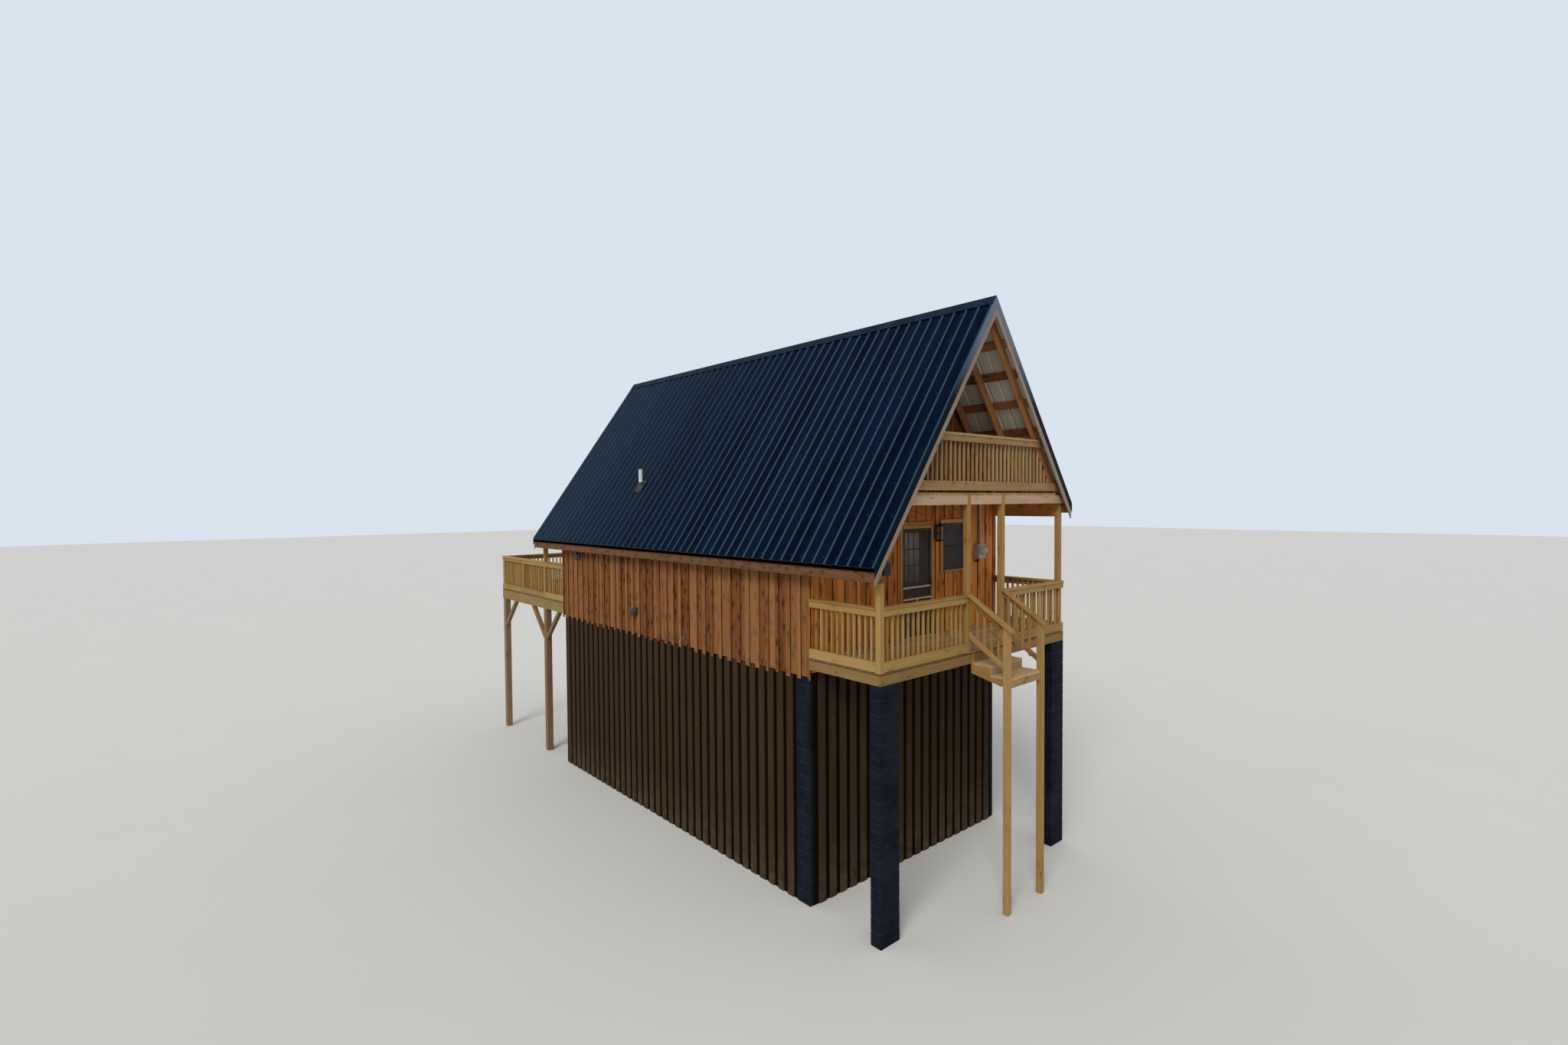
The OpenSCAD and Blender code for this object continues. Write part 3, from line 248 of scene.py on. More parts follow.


# what cedar boards, pine timbers and joinery have in common, and then each wood's colours
cedar = {"mixed": 0.5, "spread": 0.4, "ring": 0.019, "knotRun": 3.0, "knotAcross": 6.0, "knotSize": 0.18,
         "knotDepth": 0.8, "rough": 0.78, "rasp": 1.0, "gloss": 0.12, "depth": 0.005}
pine = {"mixed": 0.5, "spread": 0.3, "ring": 0.012, "knotRun": 1.7, "knotAcross": 5.5, "knotSize": 0.11,
        "knotDepth": 0.7, "rough": 0.7, "rasp": 0.6, "gloss": 0.12, "depth": 0.003}
joinery = dict(pine, mixed=0.4, spread=0.2, knotRun=1.2, knotAcross=5.0, knotSize=0.06, knotDepth=0.6, rough=0.6,
               rasp=0.4)
woods = {
    "sideCedar": dict(cedar, pale=(0.290, 0.108, 0.029), dark=(0.128, 0.040, 0.010), knot=(0.045, 0.013, 0.005),
                      other=(0.215, 0.106, 0.042), mixed=0.65, spread=0.62, gloss=0.06, knotRun=3.2,
                      knotSize=0.24, knotDepth=0.9, rasp=1.1, edge="y"),
    # partly the boards' own redder colour, partly painted light: far brighter than the side walls' cedar to stand in
    # for light on the shaded porch wall
    "litEndCedar": dict(cedar, pale=(0.86, 0.315, 0.068), dark=(0.45, 0.125, 0.021), knot=(0.09, 0.026, 0.010),
                     other=(0.68, 0.285, 0.078), mixed=0.55, spread=0.5, knotSize=0.20, knotDepth=0.85, edge="x",
                     paintedShade=(5.35, 5.95)),
    "porchCedar": dict(cedar, pale=(0.60, 0.230, 0.058), dark=(0.32, 0.098, 0.020), knot=(0.09, 0.026, 0.010),
                       other=(0.48, 0.20, 0.060), rough=0.76),
    "gableCedar": dict(cedar, pale=(0.33, 0.150, 0.058), dark=(0.17, 0.062, 0.020), knot=(0.05, 0.018, 0.008),
                       other=(0.28, 0.145, 0.068), rough=0.8, edge="x"),
    "eaveTimber": dict(pine, pale=(0.165, 0.074, 0.028), dark=(0.090, 0.036, 0.013), knot=(0.030, 0.009, 0.005),
                       other=(0.150, 0.076, 0.036), mixed=0.4, spread=0.2, ring=0.016, knotRun=4.5,
                       knotAcross=7.0, knotSize=0.28, knotDepth=0.85, rough=0.78, rasp=0.9),
    "newTimber": dict(pine, pale=(0.392, 0.226, 0.064), dark=(0.266, 0.136, 0.035), knot=(0.12, 0.050, 0.015),
                      other=(0.32, 0.225, 0.092), mixed=0.6, rough=0.66, rasp=0.5),
    "rimTimber": dict(pine, pale=(0.262, 0.152, 0.044), dark=(0.174, 0.089, 0.024), knot=(0.10, 0.042, 0.013),
                      other=(0.24, 0.170, 0.072), mixed=0.6, knotSize=0.13, knotDepth=0.75),
    "palePine": dict(pine, pale=(0.55, 0.375, 0.255), dark=(0.42, 0.262, 0.160), knot=(0.20, 0.10, 0.05),
                     other=(0.50, 0.35, 0.23), spread=0.2, knotSize=0.09, knotDepth=0.6, rasp=0.5),
    "greyPine": dict(pine, pale=(0.29, 0.225, 0.180), dark=(0.20, 0.145, 0.110), knot=(0.12, 0.07, 0.04),
                     other=(0.33, 0.28, 0.23), spread=0.2, knotSize=0.09, knotDepth=0.6, rough=0.75),
    "deckTimber": dict(pine, pale=(0.45, 0.295, 0.130), dark=(0.32, 0.195, 0.078), knot=(0.14, 0.07, 0.025),
                       other=(0.38, 0.29, 0.165), mixed=0.6, spread=0.28, ring=0.013, knotSize=0.10, rough=0.72),
    "roofTimber": dict(pine, pale=(0.50, 0.225, 0.076), dark=(0.29, 0.110, 0.034), knot=(0.08, 0.03, 0.012),
                       other=(0.42, 0.21, 0.09), spread=0.4, ring=0.014, knotDepth=0.8, rough=0.76, rasp=0.8),
    "purlinTimber": dict(pine, pale=(0.33, 0.130, 0.050), dark=(0.19, 0.065, 0.024), knot=(0.06, 0.02, 0.01),
                         other=(0.30, 0.15, 0.07), spread=0.4, ring=0.014, knotSize=0.12, knotDepth=0.8,
                         rough=0.8, rasp=0.9),
    "doorTimber": dict(joinery, pale=(0.60, 0.275, 0.088), dark=(0.40, 0.160, 0.045), knot=(0.10, 0.035, 0.012),
                       other=(0.52, 0.27, 0.11), knotSize=0.07, knotDepth=0.7, rough=0.62, rasp=0.5),
    "railPine": dict(joinery, pale=(0.72, 0.50, 0.36), dark=(0.56, 0.36, 0.24), knot=(0.22, 0.12, 0.06),
                     other=(0.64, 0.45, 0.32), spread=0.15, ring=0.010),
    "screenTimber": dict(joinery, pale=(0.085, 0.058, 0.040), dark=(0.045, 0.029, 0.019),
                         knot=(0.03, 0.015, 0.008), other=(0.075, 0.058, 0.045)),
    "oldTimber": dict(pine, pale=(0.27, 0.165, 0.080), dark=(0.165, 0.092, 0.042), knot=(0.06, 0.03, 0.013),
                      other=(0.22, 0.16, 0.10), ring=0.013, knotDepth=0.8, rough=0.78, rasp=0.8),
}
woods["deckBoards"] = dict(woods["deckTimber"], edge="xy")
woods["loftTimber"] = dict(woods["newTimber"], pale=(0.382, 0.230, 0.091), dark=(0.258, 0.138, 0.051),
                           other=(0.312, 0.226, 0.117))
wood = {name: woodFinish(name, look) for name, look in woods.items()}
wallInside = woodFinish("wallInside", dict(woods["gableCedar"], run="z", width=0.15, edge=None))
floorInside = woodFinish("floorInside", dict(woods["deckTimber"], run="y", width=0.12))
loftInside = woodFinish("loftInside", dict(woods["newTimber"], run="y", width=0.14))

roofSteel = {"top": (0.0009, 0.0026, 0.0075), "fadeAndSheen": (0.0018, 0.0085, 0.0225), "ribHighlight": (0.036, 0.080, 0.145),
             "far": (0.0123, 0.0235, 0.0430), "dust": (0.16, 0.16, 0.15), "under": (0.60, 0.56, 0.47),
             "underShade": (0.10, 0.085, 0.065), "rough": 0.36, "gloss": 0.01, "tint": (0.45, 0.68, 1.0, 1.0)}
capSteel = dict(roofSteel, top=(0.007, 0.016, 0.033), fadeAndSheen=(0.014, 0.026, 0.048))
trimSteel = dict(roofSteel, top=(0.115, 0.15, 0.205), fadeAndSheen=(0.17, 0.21, 0.27), low=(0.0022, 0.0065, 0.0125),
                 rough=0.35, gloss=0.04)


def steelFinish(name, look, sheets=False):
    material, shader, place = newFinish(name)
    x, y, z = place.parts()
    cloud = place.noise(0.55, 4, 0.6)
    dust = place.stretch((1, 1, 0.25)).noise(9, 5, 0.65)
    speck = place.noise(260, 2)
    sheen = place.stretch((0.22, 2.6, 0.22)).noise(1, 3, 0.55)     # painted reflection: sheen streaks down each pan, as if each pan lay a little differently
    # the colour fades in soft clouds, and brightens in the painted sheen's streaks
    fadeAndSheen = (cloud.between(0.4, 0.7) * 0.35 + sheen.between(0.42, 0.62) * 0.75).clamp()
    colour = place.blend(fadeAndSheen, look["top"], look["fadeAndSheen"])
    if sheets:                                 # the far end mirrors more of the sky
        away = y.between(-3.6, 4.5)
        colour = place.blend(away.between(0.3, 1.0) * 0.8, colour, look["far"])
    colour = place.blend(dust.between(0.6, 0.85) * 0.006, colour, look["dust"])
    if "low" in look:                          # trims mirror the sky near the ridge only
        colour = place.blend(1 - z.between(7.6, 8.6), colour, look["low"])
    rough = look["rough"] + (dust - 0.5) * 0.22
    if sheets:
        across, along, up = place.node("NewGeometry", {}, {}, 1).parts()
        ribHighlight = place.sum("ABSOLUTE", along).between(0.2, 0.5)      # painted highlight: the ribs' bends are painted paler blue, less so towards the far end
        colour = place.blend(ribHighlight * (0.88 - away.between(0.0, 0.5) * 0.38), colour, look["ribHighlight"])
        below = 1 - up.between(-0.15, 0.0)
        deep = 1 - z.between(6.8, 7.5)         # painted shade: the underside is darkened low down between the rafters
        colour = place.blend(below, colour, place.blend(deep * 0.6, look["under"], look["underShade"]))
        rough = rough + below * 0.2
    dress(shader, {"Base Color": colour, "Roughness": rough.clamp(), "Specular IOR Level": look["gloss"],
                   "Specular Tint": look["tint"]}, cloud * 0.8 + speck * 0.02, 0.25, 0.012)
    return material


roofFinish = steelFinish("roofSteel", roofSteel, True)
capFinish = steelFinish("capSteel", capSteel)
trimFinish = steelFinish("trimSteel", trimSteel)

skirtSteel = {"base": (0.034, 0.0200, 0.0098), "dusty": (0.058, 0.0355, 0.0180), "splash": (0.15, 0.115, 0.08),
              "grooveShade": (0.0035, 0.0020, 0.0012), "rib": 0.022, "rough": 0.5, "gloss": 0.02}


def skirtFinish(name, look):
    material, shader, place = newFinish(name)
    x, y, z = place.parts()
    cloud = place.noise(0.9, 4, 0.6)
    runs = place.stretch((14, 14, 0.7)).noise(1, 4, 0.6)
    speck = place.noise(240, 2)
    splash = (1 - z.between(0.0, 0.9)) * place.noise(5, 5, 0.7).between(0.35, 0.7)
    colour = place.blend((cloud * 0.5 + runs.between(0.45, 0.75) * 0.5).clamp(), look["base"], look["dusty"])
    colour = place.blend(splash * 0.45, colour, look["splash"])
    middle = (coreFront + coreRear) / 2 + cabin["shiftY"]
    sideways = place.sum("ABSOLUTE", x - cabin["shiftX"]) - (cabin["core"] - look["rib"])
    endways = place.sum("ABSOLUTE", y - middle) - ((coreRear - coreFront) / 2 - look["rib"])
    grooveShade = 1 - place.sum("MAXIMUM", sideways, endways).between(0.001, 0.010)     # painted shade: the grooves between the ribs are darkened
    colour = place.blend(grooveShade * 0.96, colour, look["grooveShade"])
    rough = (look["rough"] + (runs - 0.5) * 0.2 + splash * 0.2).clamp()
    dress(shader, {"Base Color": colour, "Roughness": rough, "Specular IOR Level": look["gloss"]},
          cloud + speck * 0.03, 0.25, 0.01)
    return material


skirtPaint = skirtFinish("skirtSteel", skirtSteel)


def plainFinish(name, look):                   # paint, plastic or metal with wear and small unevenness
    material, shader, place = newFinish(name)
    cloud = place.noise(look.get("cloud", 6), 4, 0.6)
    fine = place.noise(look.get("fine", 160), 3, 0.6)
    colour = place.blend(cloud.between(0.35, 0.75), look["base"], look["worn"])
    rough = (look["rough"] + (fine - 0.5) * 0.25).clamp()
    dress(shader, {"Base Color": colour, "Roughness": rough, "Metallic": look.get("metal", 0.0),
                   "Specular IOR Level": look.get("gloss", 0.4)},
          fine * look.get("grit", 0.4) + cloud, 0.4, look.get("depth", 0.002))
    return material


paints = {
    "blockPaint": {"base": (0.0050, 0.0070, 0.0130), "worn": (0.0125, 0.0155, 0.0250), "rough": 0.72,
                   "cloud": 3, "fine": 120, "grit": 1.2, "depth": 0.004, "gloss": 0.05},
    "doorPaint": {"base": (0.085, 0.066, 0.052), "worn": (0.115, 0.092, 0.074), "rough": 0.42},
    "lampBlack": {"base": (0.010, 0.008, 0.007), "worn": (0.022, 0.018, 0.015), "rough": 0.4},
    "meterGrey": {"base": (0.50, 0.44, 0.34), "worn": (0.41, 0.35, 0.26), "rough": 0.45},
    "pipePale": {"base": (0.62, 0.65, 0.68), "worn": (0.50, 0.53, 0.56), "rough": 0.4},
    "bootBlack": {"base": (0.022, 0.023, 0.025), "worn": (0.04, 0.04, 0.042), "rough": 0.6},
    "screwSteel": {"base": (0.04, 0.055, 0.085), "worn": (0.09, 0.10, 0.12), "rough": 0.35, "metal": 0.4},
    "brownScrew": {"base": (0.11, 0.08, 0.055), "worn": (0.17, 0.13, 0.10), "rough": 0.4, "metal": 0.3},
    "dialFace": {"base": (0.50, 0.50, 0.48), "worn": (0.42, 0.42, 0.40), "rough": 0.5},
    "mortar": {"base": (0.028, 0.028, 0.030), "worn": (0.055, 0.052, 0.05), "rough": 0.9, "cloud": 8,
               "fine": 200, "grit": 1.0},
    "tapMetal": {"base": (0.15, 0.15, 0.15), "worn": (0.23, 0.22, 0.19), "rough": 0.4, "metal": 0.5},
    "bulbCream": {"base": (0.30, 0.27, 0.22), "worn": (0.22, 0.20, 0.17), "rough": 0.4},
}
paint = {name: plainFinish(name, look) for name, look in paints.items()}


def darkPaneFinish(name, look):
    material, shader, place = newFinish(name)
    smear = place.noise(4, 4, 0.6)
    colour = place.blend(smear.between(0.4, 0.8), look["tint"], scaled(look["tint"], 1.5))
    dress(shader, {"Base Color": colour, "Roughness": (look["rough"] + (smear - 0.5) * 0.08).clamp(),
                   "Specular IOR Level": look["gloss"]}, smear, 0.1, 0.002)
    return material


def doorPaneFinish(name, look):                # the door's panes mirror the bright clearing, more so near the top
    material, shader, place = newFinish(name)
    cloud = place.stretch((5, 5, 1.6)).noise(1.6, 4, 0.6)
    rise = place.parts()[2].between(*look["rise"])
    bright = (rise * 0.7 + cloud.between(0.35, 0.7) * 0.45).clamp()
    dress(shader, {"Base Color": place.blend(bright, look["dark"], look["pale"]), "Roughness": 0.08 + cloud * 0.08},
          cloud, 0.1, 0.002)
    return material


def clearFinish(name, look):                   # thin clear glass: mostly seen through, with its shine kept
    material, shader, place = newFinish(name)
    smear = place.noise(30, 3)
    dress(shader, {"Base Color": place.blend(smear, look["base"], scaled(look["base"], 0.88)),
                   "Roughness": 0.06 + smear * 0.06, "Alpha": look["body"] + smear * 0.10}, smear, 0.05, 0.001)
    return material


def clothFinish(name, look):                   # woven insect screen, seen through between its wires
    material, shader, place = newFinish(name)
    x, y, z = place.parts()
    pitch = look["pitch"]
    gapX, gapZ = (place.sum("PINGPONG", axis, pitch / 2).between(pitch * 0.04, pitch * 0.12) for axis in (x, z))
    gap = gapX * gapZ
    cloud = place.noise(5, 3)
    dress(shader, {"Base Color": place.blend(cloud, look["base"], look["worn"]), "Alpha": 1 - gap * look["open"],
                   "Roughness": 0.55 + (cloud - 0.5) * 0.2}, 1 - gap, 0.5, 0.001)
    return material


darkPane = darkPaneFinish("darkPane", {"tint": (0.030, 0.036, 0.042), "rough": 0.08, "gloss": 0.6})
doorPanes = doorPaneFinish("doorPanes", {"dark": (0.22, 0.185, 0.15), "pale": (0.92, 0.80, 0.64), "rise": (4.75, 5.5)})
lampGlass = clearFinish("lampGlass", {"base": (0.20, 0.21, 0.21), "body": 0.12})
meterGlass = clearFinish("meterGlass", {"base": (0.75, 0.79, 0.80), "body": 0.20})
screenCloth = clothFinish("screenCloth", {"pitch": 0.0032, "base": (0.034, 0.027, 0.023),
                                          "worn": (0.055, 0.044, 0.036), "open": 0.93})
windowCloth = clothFinish("windowCloth", {"pitch": 0.0032, "base": (0.026, 0.016, 0.012),
                                          "worn": (0.042, 0.027, 0.021), "open": 0.6})
print("finishes made")


# boxes, rods, frames and turned shapes that are joined in one mesh
def addBox(mesh, low, high, turn=None):
    low, high = Vector(low), Vector(high)
    place = Matrix.Translation((low + high) / 2) @ Matrix.Diagonal((*(high - low), 1))
    return bmesh.ops.create_cube(mesh, size=1, matrix=turn @ place if turn else place)["verts"]


def addRod(mesh, start, end, r0, r1=None, sides=16, turn=None):
    start, end = Vector(start), Vector(end)
    upright = (end - start).to_track_quat("Z", "Y").to_matrix().to_4x4()
    place = Matrix.Translation((start + end) / 2) @ upright
    return bmesh.ops.create_cone(mesh, cap_ends=True, segments=sides, radius1=r0, radius2=r0 if r1 is None else r1,
                                 depth=(end - start).length, matrix=turn @ place if turn else place)["verts"]


def frameBars(x0, x1, z0, z1, wide):           # the bottom, top, left and right bar inside a frame's outline
    return (((x0, z0), (x1, z0 + wide), "x"), ((x0, z1 - wide), (x1, z1), "x"),
            ((x0, z0 + wide), (x0 + wide, z1 - wide), "z"), ((x1 - wide, z0 + wide), (x1, z1 - wide), "z"))


def addFrame(mesh, x0, x1, z0, z1, wide, near, far):
    for low, high, run in frameBars(x0, x1, z0, z1, wide):
        addBox(mesh, (low[0], near, low[1]), (high[0], far, high[1]))


def joinIn(mesh, part):                        # adds one finished part to a piece's mesh
    step = bpy.data.meshes.new("step")
    part.to_mesh(step)
    part.free()
    mesh.from_mesh(step)
    bpy.data.meshes.remove(step)


def addTurned(mesh, points, place, steps=32):  # a profile of (radius, height) spun about its own upright axis
    part = bmesh.new()
    verts = [part.verts.new((r, 0, z)) for r, z in points]
    edges = [part.edges.new(pair) for pair in zip(verts, verts[1:])]
    bmesh.ops.spin(part, geom=verts + edges, cent=(0, 0, 0), axis=(0, 0, 1), angle=math.tau, steps=steps,
                   use_merge=True)
    bmesh.ops.remove_doubles(part, verts=part.verts[:], dist=1e-5)
    bmesh.ops.recalc_face_normals(part, faces=part.faces[:])
    bmesh.ops.transform(part, matrix=place, verts=part.verts[:])
    joinIn(mesh, part)


def bevelEdges(mesh, edges, offset, segments=1):
    bmesh.ops.bevel(mesh, geom=edges, offset=offset, offset_type="OFFSET", affect="EDGES", segments=segments,
                    profile=0.5, material=-1, clamp_overlap=True)


def easeEdges(mesh, offset, segments=1):       # the sharp edges only
    sharp = [edge for edge in mesh.edges if len(edge.link_faces) == 2 and edge.calc_face_angle(0) > 0.6]
    bevelEdges(mesh, sharp, offset, segments)


def islandsOf(mesh):                           # lists of points that hang together
    left = set(mesh.verts)
    while left:
        stack = [left.pop()]
        island = list(stack)
        while stack:
            for edge in stack.pop().link_edges:
                for v in edge.verts:
                    if v in left:
                        left.discard(v)
                        island.append(v)
                        stack.append(v)
        yield island


def placePiece(mesh, name, finish, stands=(), body="house", moved=True):
    if moved:
        bmesh.ops.translate(mesh, vec=shift, verts=mesh.verts[:])
    for face in mesh.faces:
        face.smooth = False
    data = bpy.data.meshes.new(name)
    mesh.to_mesh(data)
    mesh.free()
    data.materials.append(finish)
    piece = bpy.data.objects.new(name, data)
    scene.collection.objects.link(piece)
    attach(piece, body)
    if stands:
        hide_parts(*stands)
    return piece


class Pile:                                    # the timbers of one piece, each marked with its own fibres
    def __init__(self, seed, source=None):
        self.mesh = bmesh.new()
        if source:
            self.mesh.from_mesh(source)
            bmesh.ops.remove_doubles(self.mesh, verts=self.mesh.verts[:], dist=1e-5)
            bmesh.ops.dissolve_limit(self.mesh, angle_limit=math.radians(0.5), verts=self.mesh.verts[:],
                                     edges=self.mesh.edges[:])
        self.grain = self.mesh.verts.layers.float_vector.new("grain")
        self.tone = self.mesh.verts.layers.float.new("tone")
        self.dice = random.Random(seed)

    def mark(self, verts, run):                # writes where each point lies in its own timber
        run = run.normalized()
        side = run.cross(Vector((0, 0, 1))) if abs(run.z) < 0.9 else run.cross(Vector((0, 1, 0)))
        side.normalize()
        deep = run.cross(side)
        middle = sum((v.co for v in verts), Vector()) / len(verts)
        away = (self.dice.uniform(0, 40), self.dice.uniform(0.02, 0.09), self.dice.uniform(-0.07, 0.07))
        tone = self.dice.random()
        for v in verts:
            d = v.co - middle
            v[self.grain] = (d.dot(run) + away[0], d.dot(side) + away[1], d.dot(deep) + away[2])
            v[self.tone] = tone

    def timber(self, low, high, run, turn=None):   # a squared timber between two corners, then turned
        verts = addBox(self.mesh, low, high, turn)
        way = Vector([float(axis == run) for axis in "xyz"])
        self.mark(verts, turn.to_3x3() @ way if turn else way)
        return verts

    def markIslands(self):
        for island in islandsOf(self.mesh):
            edges = {edge for v in island for edge in v.link_edges}
            longest = max(edges, key=lambda edge: edge.calc_length())
            self.mark(island, longest.verts[1].co - longest.verts[0].co)

    def finish(self, name, finish, edge=0.003, stands=(), body="house", moved=True):
        if edge:
            bevelEdges(self.mesh, self.mesh.edges[:], edge)
        return placePiece(self.mesh, name, finish, stands, body, moved)


# framing whose solids are single timbers: worked from the frame's nodes, with eased edges
framing = {
    "floor_joists": ("roofTimber", 0.003), "loft_joists": ("roofTimber", 0.003), "rafters": ("roofTimber", 0.003),
    "ridge_board": ("roofTimber", 0.003), "purlins": ("purlinTimber", 0.003), "rake_boards": ("greyPine", 0.002),
    "eave_boards": ("eaveTimber", 0.003), "eave_beams": ("porchCedar", 0.004), "balcony_beam": ("palePine", 0.003),
    "porch_frame": ("rimTimber", 0.003), "porch_deck": ("deckBoards", 0.004), "porch_posts": ("newTimber", 0.005),
    "stair_stringers": ("newTimber", 0.003), "stair_steps": ("deckTimber", 0.004),
    "rear_deck_frame": ("rimTimber", 0.003), "rear_deck": ("deckBoards", 0.004),
    "rear_deck_posts": ("oldTimber", 0.005), "door_frame": ("doorTimber", 0.002),
}
for number, (node, (finish, edge)) in enumerate(framing.items()):
    pile = Pile(100 + number, cadNodes[node].data)
    pile.markIslands()
    pile.finish(node + "_timbers", wood[finish], edge, (node,), moved=False)
print("framing worked")


# railings: each bay is made on its own line, with its outer face at y = 0, and then set in place
railing = {"gap": 0.012, "bottomRail": 0.14, "topRail": 0.089, "rearRow": 1.03}


def railBay(pile, length, turn, capBefore, capAfter):
    z0, z1 = railing["gap"], cabin["railTop"] - cabin["board"]
    board, thin = cabin["board"], cabin["baluster"]
    pile.timber((0, 0, z0), (length, board, z0 + railing["bottomRail"]), "x", turn)
    pile.timber((0, 0, z1 - railing["topRail"]), (length, board, z1), "x", turn)
    for x in spread(0, length, cabin["balusterPitch"])[1:-1]:
        pile.timber((x - thin / 2, board, z0), (x + thin / 2, board + thin, z1), "z", turn)
    pile.timber((-capBefore, -cabin["capOut"], z1), (length + capAfter, capIn, cabin["railTop"]), "x", turn)


def bay(pile, side, a, b, capLow=0.0, capHigh=0.0):    # a railing from a to b along one side of the cabin
    half = cabin["half"]
    x, y, angle, caps = {"front": (a, 0, 0, (capLow, capHigh)), "left": (-half, b, -math.pi / 2, (capHigh, capLow)),
                         "right": (half, a, math.pi / 2, (capLow, capHigh)),
                         "rear": (b, cabin["farEnd"], math.pi, (capHigh, capLow))}[side]
    railBay(pile, b - a, Matrix.Translation((x, y, cabin["deck"])) @ Matrix.Rotation(angle, 4, "Z"), *caps)


def makePorchRailings():
    half, post, board, seat, out = (cabin[key] for key in ("half", "post", "board", "seat", "capOut"))
    left, right = cabin["postLeftX"] - post / 2, cabin["postRightX"] + post / 2
    foot, top = cabin["deck"] + railing["gap"], cabin["deck"] + cabin["railTop"]
    low = top - board
    pile = Pile(31)
    bay(pile, "front", -half + post + seat, left)
    bay(pile, "front", right, half - post)
    pile.timber((left, -out, low), (left + post, 0, top), "x")
    pile.timber((half - post, -out, low), (half, board, top), "x")
    pile.timber((half - post, 0, foot), (half, board, foot + railing["bottomRail"]), "x")
    pile.timber((half - post, 0, low - railing["topRail"]), (half, board, low), "x")
    bay(pile, "left", post, coreFront, -max(0, capIn - post) - seat)
    bay(pile, "right", board + post, coreFront)
    pile.finish("porch_railing_bays", wood["newTimber"], 0.003, ("porch_railings",))


def makeRearRailings():
    half, post, board, seat = (cabin[key] for key in ("half", "post", "board", "seat"))
    rowY, cornerY = cabin["rear"] + railing["rearRow"], cabin["farEnd"] - board - post / 2
    midY = (rowY + cornerY) / 2
    thick = post / 2 - seat
    top = cabin["deck"] + cabin["railTop"]
    pile = Pile(32)
    for side in ("left", "right"):
        bay(pile, side, coreRear, rowY - post / 2 - seat)
        bay(pile, side, rowY + post / 2 + seat, midY - post / 2, 0, thick)
        bay(pile, side, midY + post / 2, cornerY - post / 2, thick, board + post - capIn - seat)
    bay(pile, "rear", -half, -post / 2)
    bay(pile, "rear", post / 2, half)
    posts = [(side * (half - post / 2), y, top - board - seat) for side in (-1, 1) for y in (midY, cornerY)]
    posts.append((0, cabin["farEnd"] - post / 2, top))
    for x, y, high in posts:
        pile.timber((x - thick, y - thick, cabin["deck"]), (x + thick, y + thick, high), "z")
    pile.finish("rear_railing_bays", wood["newTimber"], 0.003, ("rear_deck_railings",))


# layers of the roof that the balcony's rails, the balusters' heads and their row end under
balcony = {"lift": 0.035, "sheetSide": 0.0413, "rafterSide": 0.1813, "rowSide": 0.181}


def makeBalconyRailing():
    half, board, thin, out = (cabin[key] for key in ("half", "board", "baluster", "capOut"))
    z0, z1 = cabin["loft"] + balcony["lift"], cabin["loft"] + cabin["railTop"] - board
    pile = Pile(33)
    for low, high, y0, y1 in ((z0, z0 + railing["bottomRail"], 0, board), (z1 - railing["topRail"], z1, 0, board),
                              (z1, z1 + board, -out, capIn)):
        for v in pile.timber((-half, y0, low), (half, y1, high), "x"):
            side = -1 if v.co.x < cabin["ridgeX"] else 1
            v.co.x = side * min(side * v.co.x, side * underX(side, v.co.z, balcony["sheetSide"]))
    first, last = (underX(side, z0, balcony["rowSide"]) - side * thin for side in (-1, 1))
    for x in spread(first, last, cabin["balusterPitch"]):
        for v in pile.timber((x - thin / 2, board, z0), (x + thin / 2, board + thin, z1), "z"):
            if v.co.z > (z0 + z1) / 2:
                v.co.z = min(z1, roofAt(v.co.x, balcony["rafterSide"]))
    pile.finish("balcony_railing_timbers", wood["loftTimber"], 0.003, ("balcony_railing",))


stair = {"newel": -0.65, "capOut": 0.045, "capWidth": 0.14, "foot": 0.56, "lowRail": 0.6, "spaces": 5}


